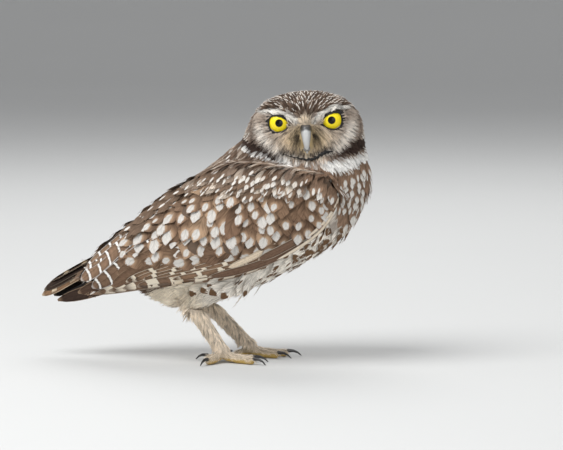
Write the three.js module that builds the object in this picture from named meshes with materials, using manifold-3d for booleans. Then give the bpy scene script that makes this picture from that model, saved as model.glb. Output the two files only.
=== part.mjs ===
// A standing burrowing owl, life size, in millimetres. It faces +X with its head turned over its right shoulder
// towards -Y. +Z is up, and its soles rest on z = 0.
import * as THREE from "three";
import { mergeVertices } from "three/addons/utils/BufferGeometryUtils.js";
import Module from "manifold-3d";

const wasm = await Module();
wasm.setup();

// Driving dimensions
const GAP = 0.3; // between neighbouring pieces
const BODY_PITCH = THREE.MathUtils.degToRad(32); // the back's slope
const RUMP = { x: -60, z: 39 }; // where the body's own axes start: s forward along it, h up from it, y to its left
const HEAD_CENTRE = new THREE.Vector3(51.4, -2, 137.5);
const HEAD_TURN = THREE.MathUtils.degToRad(12); // of the face past straight to the side
const HEAD_ROLL = THREE.MathUtils.degToRad(3.2);
const HEAD_HALF = { side: 34.3, front: 25, back: 29, top: 25, under: 26 };
const NECK_CENTRE = new THREE.Vector3(45.6, 2, 112);
const NECK_HALF = new THREE.Vector3(39, 30, 24);
const NAPE_TAPER = 0.9; // how much narrower the torso's top grows towards the neck
const BLEND = 9; // how softly torso, neck and head run together
const EYE = { side: 15.6, up: 7.7, front: 13.2, radius: 8.2 };
const VANE_THICK = 0.8;

// Planes that part the body, as a point on each and its normal
const NECK_BASE = { point: new THREE.Vector3(45, 0, 107), normal: new THREE.Vector3(0.21, 0, 1).normalize() };
const HEAD_BASE = { point: new THREE.Vector3(51, 0, 120), normal: new THREE.Vector3(0.17, -0.12, 1).normalize() };

// Torso sections: s, top, underside, half width
const TORSO_SECTIONS = [
  [-6, 30, 17, 7],
  [6, 33, 1, 12],
  [20, 34, -21, 20],
  [36, 34.5, -29, 27.5],
  [54, 36, -34, 32],
  [76, 38.5, -39, 35.5],
  [98, 40.5, -40.5, 37.5],
  [118, 42.5, -40.5, 36.5],
  [138, 43, -38, 32],
  [152, 34.5, -31.5, 26],
  [160, 24, -25.5, 18.5],
  [166.5, 6, -17, 8],
];

// Folded wing, s with h and y of its lower edge, its fullest line and its upper edge
const WING_STATIONS = [
  [-36, 16.5, 13, 19.5, 13.5, 22, 13],
  [-20, 10.5, 15, 19, 16, 26, 13.5],
  [0, 3.5, 20, 18, 22.5, 29.5, 15],
  [20, -4, 26, 17, 29.5, 32.5, 17],
  [42, -14, 32, 13, 36, 35, 19],
  [66, -24, 36, 9, 41, 37, 21],
  [90, -30.5, 36.5, 4, 43.5, 36, 25],
  [112, -32.5, 34.5, -1, 43.5, 29, 31],
  [130, -31, 32, -8, 41.5, 15, 37],
  [144, -25, 31, -12, 37.5, 3, 37],
  [152, -18, 29, -12, 33, -5, 33],
];
const WING_THICK = { front: 9, rear: 2.2 };

const BROWN = 0x7a5d43;
const PALE = 0xd9cfbc;

const clamp = THREE.MathUtils.clamp;
const lerp = THREE.MathUtils.lerp;

// Reads a list of [position, value, value, ...] smoothly between its stations
function smoothReader(stations) {
  const last = stations.length - 1;
  const slope = (i, k) => {
    const [a, b] = [stations[Math.max(i - 1, 0)], stations[Math.min(i + 1, last)]];
    return (b[k] - a[k]) / (b[0] - a[0]);
  };
  return (at) => {
    let i = 0;
    while (i < last - 1 && at > stations[i + 1][0]) i += 1;
    const [from, to] = [stations[i], stations[i + 1]];
    const span = to[0] - from[0];
    const t = clamp((at - from[0]) / span, 0, 1);
    return from.slice(1).map((value, j) => {
      const k = j + 1;
      const [m0, m1] = [slope(i, k) * span, slope(i + 1, k) * span];
      return (
        value * (2 * t ** 3 - 3 * t ** 2 + 1) +
        m0 * (t ** 3 - 2 * t ** 2 + t) +
        to[k] * (3 * t ** 2 - 2 * t ** 3) +
        m1 * (t ** 3 - t ** 2)
      );
    });
  };
}

const torsoAt = smoothReader(TORSO_SECTIONS);
const wingAt = smoothReader(WING_STATIONS);

// The body's own axes
const ALONG = new THREE.Vector3(Math.cos(BODY_PITCH), 0, Math.sin(BODY_PITCH));
const ABOVE = new THREE.Vector3(-Math.sin(BODY_PITCH), 0, Math.cos(BODY_PITCH));
const LEFT = new THREE.Vector3(0, 1, 0);
const RUMP_POINT = new THREE.Vector3(RUMP.x, 0, RUMP.z);

function bodyPoint(s, h, y) {
  return RUMP_POINT.clone().addScaledVector(ALONG, s).addScaledVector(ABOVE, h).addScaledVector(LEFT, y);
}

// The head's own axes
const FACING = new THREE.Vector3(Math.sin(HEAD_TURN), -Math.cos(HEAD_TURN), 0.02).normalize();
const levelSide = new THREE.Vector3(Math.cos(HEAD_TURN), Math.sin(HEAD_TURN), 0);
const levelUp = new THREE.Vector3().crossVectors(levelSide, FACING).negate();
const HEAD_SIDE = levelSide.clone().multiplyScalar(Math.cos(HEAD_ROLL)).addScaledVector(levelUp, Math.sin(HEAD_ROLL));
const HEAD_UP = levelUp.clone().multiplyScalar(Math.cos(HEAD_ROLL)).addScaledVector(levelSide, -Math.sin(HEAD_ROLL));

function headPoint(side, front, up) {
  return HEAD_CENTRE.clone()
    .addScaledVector(HEAD_SIDE, side)
    .addScaledVector(FACING, front)
    .addScaledVector(HEAD_UP, up);
}

// Relief of the face, each swelling (out over 0) or hollow by its place, half sizes and turn
const FACE_RELIEF = [
  { name: "eye hollow", side: 16, up: 6, wide: 9, high: 8, turn: 0, out: -3.6 },
  { name: "brow", side: 15, up: 16.2, wide: 13, high: 3.4, turn: 17, out: 3.4 },
  { name: "bridge", side: 0, up: 7, wide: 4, high: 12, turn: 0, out: 2.6 },
  { name: "whisker pad", side: 7, up: -5, wide: 7, high: 7, turn: 0, out: 2.2 },
  { name: "cheek", side: 24, up: -4, wide: 9, high: 9, turn: 0, out: 1.4 },
  { name: "chin", side: 0, up: -20, wide: 13, high: 4, turn: 0, out: -2 },
];

function bell(x) {
  return Math.exp(-x * x);
}

function headRadius(side, front, up) {
  const depth = front > 0 ? HEAD_HALF.front : HEAD_HALF.back;
  const height = up > 0 ? HEAD_HALF.top : HEAD_HALF.under;
  const power = 2.25;
  const sum =
    Math.abs(side / HEAD_HALF.side) ** power + Math.abs(front / depth) ** power + Math.abs(up / height) ** power;
  let radius = sum ** (-1 / power);
  if (front <= 0) return radius;
  const [acrossFace, upFace] = [Math.abs(side * radius), up * radius];
  const facing = clamp(front * 2.5, 0, 1);
  for (const form of FACE_RELIEF) {
    const turn = THREE.MathUtils.degToRad(form.turn);
    const [dx, dz] = [acrossFace - form.side, upFace - form.up];
    const along = dx * Math.cos(turn) + dz * Math.sin(turn);
    const across = dz * Math.cos(turn) - dx * Math.sin(turn);
    radius += form.out * bell(along / form.wide) * bell(across / form.high) * facing;
  }
  return radius;
}

// Each field is about the distance outside its form, and under 0 inside it
function headField(p) {
  const q = p.clone().sub(HEAD_CENTRE);
  const length = q.length();
  if (length < 1) return -HEAD_HALF.top;
  q.divideScalar(length);
  return length - headRadius(q.dot(HEAD_SIDE), q.dot(FACING), q.dot(HEAD_UP));
}

function torsoField(p) {
  const q = p.clone().sub(RUMP_POINT);
  const s = q.dot(ALONG);
  const [first, end] = [TORSO_SECTIONS[0][0], TORSO_SECTIONS[TORSO_SECTIONS.length - 1][0]];
  const [top, under, wide] = torsoAt(clamp(s, first, end));
  const high = (top - under) / 2;
  const over = (q.dot(ABOVE) - (top + under) / 2) / high;
  const nape = NAPE_TAPER * clamp((s - 100) / 36, 0, 1) * clamp(over, 0, 1);
  const around = Math.hypot((q.y / wide) * (1 + nape), over) - 1;
  const past = Math.max(first - s, s - end, 0);
  return Math.max(around * Math.min(high, wide), 0.6 * around * Math.max(high, wide)) + past;
}

function neckField(p) {
  const q = p.clone().sub(NECK_CENTRE).divide(NECK_HALF);
  return (q.length() - 1) * NECK_HALF.z;
}

function softUnion(a, b) {
  const t = clamp(0.5 + (0.5 * (b - a)) / BLEND, 0, 1);
  return lerp(b, a, t) - BLEND * t * (1 - t);
}

function bodyField(p) {
  return softUnion(softUnion(torsoField(p), neckField(p)), headField(p));
}

function planeField(plane, p) {
  return p.clone().sub(plane.point).dot(plane.normal);
}

// How far a ray runs inside a field
function reach(field, origin, direction) {
  const at = (d) => field(origin.clone().addScaledVector(direction, d));
  const step = 1.5;
  let inside = 0;
  while (inside < 120 && at(inside + step) < 0) inside += step;
  let outside = inside + step;
  for (let i = 0; i < 14; i += 1) {
    const middle = (inside + outside) / 2;
    if (at(middle) < 0) inside = middle;
    else outside = middle;
  }
  return inside;
}

// A closed mesh over rings of points, from one pole to the other
function closedRings(pole, rings, farPole) {
  const columns = rings[0].length;
  const points = [pole, ...rings.flat(), farPole];
  const index = [];
  const at = (ring, column) => 1 + ring * columns + (column % columns);
  for (let c = 0; c < columns; c += 1) {
    index.push(0, at(0, c + 1), at(0, c));
    index.push(points.length - 1, at(rings.length - 1, c), at(rings.length - 1, c + 1));
    for (let r = 0; r + 1 < rings.length; r += 1) {
      const [a, b, d, e] = [at(r, c), at(r, c + 1), at(r + 1, c), at(r + 1, c + 1)];
      if ((r + c) % 2) index.push(a, b, e, a, e, d);
      else index.push(a, b, d, b, e, d);
    }
  }
  const made = new THREE.BufferGeometry();
  made.setAttribute("position", new THREE.Float32BufferAttribute(points.flatMap((p) => p.toArray()), 3));
  made.setIndex(index);
  return made;
}

// A geometry as a solid to join and cut
function solidOf(geometry) {
  const bare = new THREE.BufferGeometry();
  bare.setAttribute("position", geometry.getAttribute("position"));
  bare.setIndex(geometry.index);
  const merged = mergeVertices(bare, 1e-4);
  const make = (triVerts) =>
    new wasm.Manifold(
      new wasm.Mesh({ numProp: 3, vertProperties: merged.attributes.position.array, triVerts }),
    );
  const solid = make(new Uint32Array(merged.index.array));
  if (solid.volume() > 0) return solid;
  const turned = new Uint32Array(merged.index.array);
  for (let i = 0; i < turned.length; i += 3) [turned[i + 1], turned[i + 2]] = [turned[i + 2], turned[i + 1]];
  return make(turned);
}

function largest(solid) {
  return solid.decompose().sort((a, b) => b.volume() - a.volume())[0];
}

function join(solids) {
  return largest(solids.reduce((whole, piece) => whole.add(piece)));
}

// The surface of a field round a straight line, with rounded rows past each end
function skinRound(field, from, to, { capRows, bodyRows, columns, up }) {
  const axis = to.clone().sub(from).normalize();
  const across = new THREE.Vector3().crossVectors(axis, up).normalize();
  const over = new THREE.Vector3().crossVectors(across, axis).normalize();
  const hit = (origin, direction) =>
    origin.clone().addScaledVector(direction, reach(field, origin, direction));
  const ring = (origin, lean) =>
    Array.from({ length: columns }, (_, c) => {
      const turn = (c / columns) * 2 * Math.PI;
      const direction = over
        .clone()
        .multiplyScalar(Math.cos(turn))
        .addScaledVector(across, Math.sin(turn))
        .multiplyScalar(Math.cos(lean))
        .addScaledVector(axis, Math.sin(lean));
      return hit(origin, direction);
    });
  const rings = [];
  for (let r = 1; r <= capRows; r += 1) rings.push(ring(from, (-Math.PI / 2) * (1 - r / capRows)));
  for (let r = 1; r < bodyRows; r += 1) rings.push(ring(from.clone().lerp(to, r / bodyRows), 0));
  if (bodyRows > 0) rings.push(ring(to, 0));
  for (let r = 1; r < capRows; r += 1) rings.push(ring(to, (Math.PI / 2) * (r / capRows)));
  return solidOf(closedRings(hit(from, axis.clone().negate()), rings, hit(to, axis)));
}

// A closed tube through points. section(t) gives its half sizes across and over, and flat its least height
function tube(points, section, sides, over) {
  const curve = new THREE.CatmullRomCurve3(points);
  const rows = section.rows;
  const rings = [];
  for (let r = 0; r <= rows; r += 1) {
    const t = r / rows;
    const centre = curve.getPoint(t);
    const ahead = curve.getTangent(t);
    const side = new THREE.Vector3().crossVectors(ahead, over).normalize();
    const up = new THREE.Vector3().crossVectors(side, ahead).normalize();
    const { wide, high } = section.at(t);
    rings.push(
      Array.from({ length: sides }, (_, c) => {
        const turn = ((c + 0.5) / sides) * 2 * Math.PI;
        return centre
          .clone()
          .addScaledVector(side, wide * Math.cos(turn))
          .addScaledVector(up, high * Math.sin(turn));
      }),
    );
  }
  const lead = section.lead ?? 0.4;
  const start = curve.getPoint(0).addScaledVector(curve.getTangent(0), -lead * section.at(0).wide);
  const end = curve.getPoint(1).addScaledVector(curve.getTangent(1), lead * section.at(1).wide);
  return solidOf(closedRings(start, rings, end));
}

// Torso, neck and head: one skin, parted by two thin cuts
const OVERRUN = 5; // how far each skin runs past its cut before it is trimmed

function trimmed(solid, plane, side) {
  const normal = plane.normal.clone().multiplyScalar(side);
  return solid.trimByPlane(normal.toArray(), plane.point.dot(normal) + GAP / 2);
}

function torsoSkin(grown = 0) {
  const field = (p) => Math.max(bodyField(p) - grown, planeField(NECK_BASE, p) - OVERRUN);
  const skin = skinRound(field, bodyPoint(8, 18, 0), bodyPoint(132, -12, 0), {
    capRows: 5,
    bodyRows: 15,
    columns: 29,
    up: ABOVE,
  });
  return skin;
}

function torsoSolid() {
  return trimmed(torsoSkin(), NECK_BASE, -1);
}

function neckSkin(grown = 0) {
  const field = (p) =>
    Math.max(bodyField(p) - grown, -planeField(NECK_BASE, p) - OVERRUN, planeField(HEAD_BASE, p) - OVERRUN);
  const foot = new THREE.Vector3(46, 0, 102.8);
  const top = new THREE.Vector3(50.2, 0, 124.8);
  return skinRound(field, foot, top, { capRows: 3, bodyRows: 7, columns: 34, up: FACING });
}

function neckSolid() {
  return trimmed(trimmed(neckSkin(), NECK_BASE, 1), HEAD_BASE, -1);
}

function headSkin(grown = 0) {
  const field = (p) => Math.max(bodyField(p) - grown, -planeField(HEAD_BASE, p) - OVERRUN);
  const skin = skinRound(field, HEAD_CENTRE, HEAD_CENTRE.clone().addScaledVector(FACING, 0.01), {
    capRows: 14,
    bodyRows: 0,
    columns: 32,
    up: HEAD_UP,
  });
  return trimmed(skin, HEAD_BASE, 1);
}


// Folded wings. side is -1 on the right and 1 on the left; v runs from the upper edge, 0, to the lower edge, 1
function wingPoint(side, s, v) {
  const [lowH, lowY, fullH, fullY, upH, upY] = wingAt(s);
  const through = (up, full, low) => {
    const pull = 2 * full - (up + low) / 2;
    return (1 - v) ** 2 * up + 2 * v * (1 - v) * pull + v ** 2 * low;
  };
  return bodyPoint(s, through(upH, fullH, lowH), side * through(upY, fullY, lowY));
}

// Place on the wing's outside, with its way back to the tail, its way down and its way out
function wingFrame(side, s, v) {
  const point = wingPoint(side, s, v);
  const back = wingPoint(side, s - 1, v).sub(wingPoint(side, s + 1, v)).normalize();
  const down = wingPoint(side, s, v + 0.02).sub(wingPoint(side, s, v - 0.02)).normalize();
  const out = new THREE.Vector3().crossVectors(back, down).multiplyScalar(-side).normalize();
  return { point, back, down, out };
}

function wingBase(side) {
  const arc = 5;
  const rows = 12;
  const [rear, front] = [WING_STATIONS[0][0], WING_STATIONS[WING_STATIONS.length - 1][0]];
  const rings = [];
  for (let r = 0; r <= rows; r += 1) {
    const s = lerp(rear + 4, front, r / rows);
    const thick = lerp(WING_THICK.rear, WING_THICK.front, clamp((s - rear) / 110, 0, 1));
    const outside = [];
    const inside = [];
    for (let i = 0; i <= arc; i += 1) {
      const { point, out } = wingFrame(side, s, i / arc);
      outside.push(point);
      inside.unshift(point.clone().addScaledVector(out, -thick));
    }
    rings.push([...outside, ...inside]);
  }
  const middle = (ring) =>
    ring.reduce((sum, p) => sum.add(p), new THREE.Vector3()).divideScalar(ring.length);
  return solidOf(closedRings(middle(rings[0]), rings, middle(rings[rings.length - 1])));
}

// Shares of a vane's length where its rows lie, with the share of its full width there
const VANE_ROWS = [
  [0, 0.6],
  [0.45, 1],
  [0.86, 0.86],
  [1, 0.22],
];

// A feather's vane. frameAt(t) gives point, side and out along it, and lift(t, across) how far it stands out
function vane(frameAt, half, lift) {
  const upper = [];
  const lower = [];
  for (const [t, share] of VANE_ROWS) {
    const { point, side, out } = frameAt(t);
    for (const across of [-1, 0, 1]) {
      const place = point.clone().addScaledVector(side, across * share * half);
      const height = lift(t, across);
      upper.push(place.clone().addScaledVector(out, height + VANE_THICK / 2));
      lower.push(place.clone().addScaledVector(out, height - VANE_THICK / 2));
    }
  }
  const count = upper.length;
  const rows = VANE_ROWS.length - 1;
  const index = [];
  for (let r = 0; r < rows; r += 1) {
    for (const c of [0, 1]) {
      const [a, b, d, e] = [r * 3 + c, r * 3 + c + 1, r * 3 + c + 3, r * 3 + c + 4];
      index.push(a, b, e, a, e, d, a + count, e + count, b + count, a + count, d + count, e + count);
    }
    for (const [a, b] of [[r * 3, r * 3 + 3], [r * 3 + 5, r * 3 + 2]]) {
      index.push(a, b, b + count, a, b + count, a + count);
    }
  }
  const tip = rows * 3;
  for (const [a, b] of [[0, 1], [1, 2], [tip + 1, tip], [tip + 2, tip + 1]]) {
    index.push(b, a, a + count, b, a + count, b + count);
  }
  const made = new THREE.BufferGeometry();
  const points = [...upper, ...lower];
  made.setAttribute("position", new THREE.Float32BufferAttribute(points.flatMap((p) => p.toArray()), 3));
  made.setIndex(index);
  return solidOf(made);
}

// A vane that lies on the wing from its root to its tip, each an [s, v]
function wingVane(side, root, tip, half, [rootLift, tipLift], tilt) {
  const place = (t) => [lerp(root[0], tip[0], t), lerp(root[1], tip[1], t)];
  const frameAt = (t) => {
    const { point, out } = wingFrame(side, ...place(t));
    const step = 0.02;
    const ahead = wingPoint(side, ...place(t + step)).sub(wingPoint(side, ...place(t - step))).normalize();
    return { point, side: new THREE.Vector3().crossVectors(ahead, out).multiplyScalar(side), out };
  };
  return vane(frameAt, half, (t, across) => lerp(rootLift, tipLift, t) - across * tilt - across ** 2 * 0.35);
}

// The tiers of one wing, from the lowest layer up: counts, and the first and last tip and root
const WING_TIERS = [
  { name: "primaries", count: 6, half: 5.2, lifts: [-1.2, 0.3], tilt: 0.35,
    tips: [[8, 0.97], [-37, 0.5]], roots: [[78, 0.95], [52, 0.8]] },
  { name: "secondaries", count: 6, half: 6.4, lifts: [-1.4, 0.9], tilt: 0.4,
    tips: [[34, 0.86], [-22, 0.28]], roots: [[86, 0.8], [40, 0.35]] },
  { name: "greater coverts", count: 6, half: 6.2, lifts: [-1.5, 1.3], tilt: 0.3,
    tips: [[112, 0.97], [18, 0.55]], roots: [[132, 0.78], [44, 0.42]] },
  { name: "scapulars", count: 4, half: 7, lifts: [-1.8, 1.2], tilt: -0.3,
    tips: [[92, 0.42], [4, 0.1]], roots: [[116, 0.28], [36, 0.04]] },
];

function wingSolid(side) {
  const pieces = [wingBase(side)];
  for (const tier of WING_TIERS) {
    for (let i = 0; i < tier.count; i += 1) {
      const share = i / (tier.count - 1);
      const between = ([a, b]) => [lerp(a[0], b[0], share), lerp(a[1], b[1], share)];
      pieces.push(wingVane(side, between(tier.roots), between(tier.tips), tier.half, tier.lifts, tier.tilt));
    }
  }
  return join(pieces);
}

// A solid turned over from the bird's right to its left
function mirrored(solid) {
  const { numProp, vertProperties, triVerts } = solid.getMesh();
  const turned = new Float32Array(vertProperties);
  for (let i = 1; i < turned.length; i += numProp) turned[i] *= -1;
  const made = new THREE.BufferGeometry();
  made.setAttribute("position", new THREE.BufferAttribute(turned, 3));
  made.setIndex(new THREE.BufferAttribute(new Uint32Array(triVerts), 1));
  return solidOf(made);
}

// Tail: flight feathers fanned a little from under the rump, the middle pair on top
const TAIL = { root: [14, 24.5], tip: [-43, 26.6], rootHalf: 6, tipHalf: 7.5, pairs: 5, vaneHalf: 4.3, stack: 0.75 };

function tailSolid() {
  const frame = (y0, y1, drop) => (t) => {
    const at = (u) =>
      bodyPoint(
        lerp(TAIL.root[0], TAIL.tip[0] + Math.abs(y1) * 0.25, u),
        lerp(TAIL.root[1], TAIL.tip[1], u) + 2 * Math.sin(Math.PI * u) - drop,
        lerp(y0, y1, u),
      );
    const ahead = at(t + 0.02).sub(at(t - 0.02)).normalize();
    const side = new THREE.Vector3().crossVectors(ahead, ABOVE).normalize();
    return { point: at(t), side, out: new THREE.Vector3().crossVectors(side, ahead).normalize() };
  };
  const pieces = [];
  for (let i = 0; i < TAIL.pairs; i += 1) {
    const share = (i + 0.3) / (TAIL.pairs - 0.5);
    for (const side of [-1, 1]) {
      const place = frame(side * share * TAIL.rootHalf * 0.6, side * share * TAIL.tipHalf * 0.85, i * TAIL.stack);
      pieces.push(vane(place, TAIL.vaneHalf, (t, across) => -(across ** 2) * 0.3 - side * across * 0.35));
    }
  }
  const core = [bodyPoint(16, 23, 0), bodyPoint(0, 24.5, 0), bodyPoint(-16, 26, 0)];
  const section = { rows: 5, at: (t) => ({ wide: lerp(8.5, 6.5, t), high: lerp(6, 1.6, t) }) };
  pieces.push(tube(core, section, 12, ABOVE));
  return join(pieces);
}

// Legs. Each has the place of its knee, heel and ankle, with the left foot set forward
const LEGS = {
  right: { side: -1, knee: [12, -21, 56], heel: [-16.5, -15, 35], ankle: [2.5, -15, 7.5], yaw: -8 },
  left: { side: 1, knee: [13, 21, 57], heel: [-16, 15, 35], ankle: [13, 14, 7.5], yaw: 4 },
};
const THIGH = { knee: 14.5, heel: 5.2 };
const SHANK = { heel: 4.8, middle: 4.3, ankle: 4 };
// Toes by heading from straight ahead towards the outside, length and half thickness
const TOES = [
  { name: "inner", heading: -16, length: 19, half: 2.7 },
  { name: "middle", heading: 14, length: 23, half: 2.8 },
  { name: "outer", heading: 98, length: 17, half: 2.6 },
  { name: "hind", heading: 196, length: 10, half: 2.5 },
];
const CLAW = { length: 9.5, half: 1.45 };

const vector = ([x, y, z]) => new THREE.Vector3(x, y, z);

function coneField(from, to, radiusFrom, radiusTo) {
  const axis = to.clone().sub(from);
  return (p) => {
    const t = clamp(p.clone().sub(from).dot(axis) / axis.lengthSq(), 0, 1);
    return p.distanceTo(from.clone().addScaledVector(axis, t)) - lerp(radiusFrom, radiusTo, t);
  };
}

function thighSolid(leg, grown = 0) {
  const [knee, heel] = [vector(leg.knee), vector(leg.heel)];
  const field = coneField(knee, heel, THIGH.knee + grown, THIGH.heel + grown);
  return skinRound(field, knee, heel, { capRows: 3, bodyRows: 4, columns: 16, up: LEFT });
}

function shankSolid(leg) {
  const [heel, ankle] = [vector(leg.heel), vector(leg.ankle)];
  const section = {
    rows: 9,
    at: (t) => {
      const half = t < 0.5 ? lerp(SHANK.heel, SHANK.middle, t * 2) : lerp(SHANK.middle, SHANK.ankle, t * 2 - 1);
      return { wide: half, high: half * 1.12 };
    },
  };
  return tube([heel, heel.clone().lerp(ankle, 0.5), ankle.clone().lerp(heel, -0.08)], section, 12, LEFT);
}

// Where a toe runs: from the ankle, over its joints and down to its pad
function toeLine(leg, toe) {
  const turn = THREE.MathUtils.degToRad(leg.yaw + leg.side * toe.heading);
  const way = new THREE.Vector3(Math.cos(turn), Math.sin(turn), 0);
  const at = (share, z) => vector(leg.ankle).setZ(z).addScaledVector(way, share * toe.length);
  return { way, points: [at(-0.05, 4.8), at(0.28, 3.4), at(0.6, 2.3), at(0.97, 2)] };
}

function toeSolid(leg, toe, grown = 0) {
  const pads = 3.2;
  const section = {
    rows: 7,
    lead: 0.9,
    at: (t) => {
      const pad = 1 + 0.1 * Math.cos(pads * 2 * Math.PI * t);
      const half = toe.half * lerp(1.08, 0.88, t) * pad + grown;
      return { wide: half, high: half };
    },
  };
  return tube(toeLine(leg, toe).points, section, 9, new THREE.Vector3(0, 0, 1));
}

function footSolid(leg) {
  const ankle = vector(leg.ankle);
  const heel = vector(leg.heel);
  const stub = tube(
    [ankle.clone().lerp(heel, 0.2), ankle, ankle.clone().setZ(3.4)],
    { rows: 5, at: (t) => ({ wide: lerp(SHANK.ankle, 4.4, t), high: lerp(SHANK.ankle * 1.12, 4.4, t) }) },
    10,
    LEFT,
  );
  return join([stub, ...TOES.map((toe) => toeSolid(leg, toe))]).trimByPlane([0, 0, 1], 0);
}

function clawSolid(leg, toe) {
  const { way, points } = toeLine(leg, toe);
  const root = points[3].clone().addScaledVector(way, 0.6);
  const at = (along, z) => root.clone().addScaledVector(way, along * CLAW.length).setZ(z);
  const line = [at(-0.15, 3), at(0.25, 3.6), at(0.62, 2.9), at(0.95, 0.45)];
  const half = (t) => lerp(CLAW.half, 0.28, t);
  const section = { rows: 4, lead: 0.2, at: (t) => ({ wide: half(t), high: half(t) }) };
  return tube(line, section, 7, new THREE.Vector3(0, 0, 1)).subtract(toeSolid(leg, toe, GAP));
}

// Bill: the upper half hooks down over the lower. Each path is in front and up from the head's centre
const UPPER_BILL = [[17, 7.6], [25, 6.6], [29.8, 2.6], [31.4, -3.6], [30.2, -10.8]];
const LOWER_BILL = [[16, -6], [24, -6.8], [28.2, -8.8]];
const BILL_HALF = { root: 4, middle: 3.2, tip: 0.45, depth: 1.15 };
const NOSTRIL = { side: 3.1, front: 28.6, up: 5.4, radius: 0.9 };

const billLine = (path) => path.map(([front, up]) => headPoint(0, front, up));

function upperBillSolid(grown = 0) {
  const half = (t) =>
    t < 0.5 ? lerp(BILL_HALF.root, BILL_HALF.middle, t * 2) : lerp(BILL_HALF.middle, BILL_HALF.tip, (t * 2 - 1) ** 1.4);
  const section = { rows: 12, at: (t) => ({ wide: half(t) * BILL_HALF.depth + grown, high: half(t) + grown }) };
  return tube(billLine(UPPER_BILL), section, 12, HEAD_SIDE);
}

function lowerBillSolid() {
  const section = { rows: 6, at: (t) => ({ wide: lerp(3, 1.4, t), high: lerp(3.4, 1.7, t) }) };
  return tube(billLine(LOWER_BILL), section, 12, HEAD_SIDE);
}

// Eyes, each set in a socket and ringed by its lids
const LID = { wide: 6.2, high: 5, half: 1, slant: 16 };

function eyeCentre(side) {
  return headPoint(side * EYE.side, EYE.front, EYE.up);
}

function ball(centre, radius, columns = 14, rows = 10) {
  const sphere = new THREE.SphereGeometry(radius, columns, rows);
  sphere.rotateX(Math.PI / 2);
  return solidOf(sphere.translate(centre.x, centre.y, centre.z));
}

// A closed ring of tube round a loop of points, each with its way out
function ringTube(loop, half, sides) {
  const count = loop.length;
  const points = [];
  const index = [];
  loop.forEach(({ point, out }, i) => {
    const ahead = loop[(i + 1) % count].point.clone().sub(loop[(i + count - 1) % count].point).normalize();
    const side = new THREE.Vector3().crossVectors(ahead, out).normalize();
    for (let c = 0; c < sides; c += 1) {
      const turn = (c / sides) * 2 * Math.PI;
      points.push(
        point.clone().addScaledVector(out, half * Math.sin(turn)).addScaledVector(side, half * Math.cos(turn)),
      );
      const [a, b] = [i * sides + c, i * sides + ((c + 1) % sides)];
      const [d, e] = [((i + 1) % count) * sides + c, ((i + 1) % count) * sides + ((c + 1) % sides)];
      index.push(a, b, e, a, e, d);
    }
  });
  const made = new THREE.BufferGeometry();
  made.setAttribute("position", new THREE.Float32BufferAttribute(points.flatMap((p) => p.toArray()), 3));
  made.setIndex(index);
  return solidOf(made);
}

function lidRing(side) {
  const steps = 18;
  const centre = eyeCentre(side);
  const slant = THREE.MathUtils.degToRad(LID.slant);
  const loop = Array.from({ length: steps }, (_, i) => {
    const turn = (i / steps) * 2 * Math.PI;
    const x = LID.wide * Math.cos(turn);
    const y = LID.high * Math.sin(turn) * (turn < Math.PI ? 0.92 : 1) + x * Math.tan(slant) * (turn < Math.PI ? 0.5 : 0.16);
    const depth = Math.sqrt(EYE.radius ** 2 - x ** 2 - y ** 2);
    const out = new THREE.Vector3()
      .addScaledVector(HEAD_SIDE, side * x)
      .addScaledVector(HEAD_UP, y)
      .addScaledVector(FACING, depth)
      .normalize();
    return { point: centre.clone().addScaledVector(out, EYE.radius + 0.35), out };
  });
  return ringTube(loop, LID.half, 6);
}

// The line of the mouth, cut in from the bill to each corner
const MOUTH = { from: [3, -13.2], corner: [14.5, -9.6], sag: 1.4, half: 0.75 };

function headSurface(side, up) {
  const direction = headPoint(side, 22, up).sub(HEAD_CENTRE).normalize();
  return HEAD_CENTRE.clone().addScaledVector(direction, reach(bodyField, HEAD_CENTRE, direction));
}

function mouthCut(side) {
  const points = [0, 0.25, 0.5, 0.75, 1].map((t) =>
    headSurface(
      side * lerp(MOUTH.from[0], MOUTH.corner[0], t),
      lerp(MOUTH.from[1], MOUTH.corner[1], t) - MOUTH.sag * Math.sin(Math.PI * t),
    ),
  );
  const section = { rows: 8, at: (t) => ({ wide: MOUTH.half * lerp(1, 0.5, t), high: MOUTH.half * lerp(1, 0.5, t) }) };
  return tube(points, section, 6, FACING);
}

const owl = new THREE.Group();

function addNode(name, solid, color, roughness = 0.85) {
  const { numProp, vertProperties, triVerts } = solid.getMesh();
  const positions = new Float32Array((vertProperties.length / numProp) * 3);
  for (let i = 0; i < positions.length / 3; i += 1) {
    positions.set(vertProperties.subarray(i * numProp, i * numProp + 3), i * 3);
  }
  const geometry = new THREE.BufferGeometry();
  geometry.setAttribute("position", new THREE.BufferAttribute(positions, 3));
  geometry.setIndex(new THREE.BufferAttribute(new Uint32Array(triVerts), 1));
  geometry.computeVertexNormals();
  const mesh = new THREE.Mesh(geometry, new THREE.MeshStandardMaterial({ color, roughness }));
  mesh.name = name;
  owl.add(mesh);
}


const headWhole = headSkin();
const [rightEye, leftEye] = [eyeCentre(-1), eyeCentre(1)];
const cutters = [ball(rightEye, EYE.radius + GAP), ball(leftEye, EYE.radius + GAP), mouthCut(-1), mouthCut(1)];
const headNode = cutters.reduce(
  (solid, cutter) => solid.subtract(cutter),
  headWhole.add(lidRing(-1)).add(lidRing(1)),
);
const billCutter = headSkin(GAP);
const bodyCutter = torsoSkin(GAP).add(neckSkin(GAP));

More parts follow.
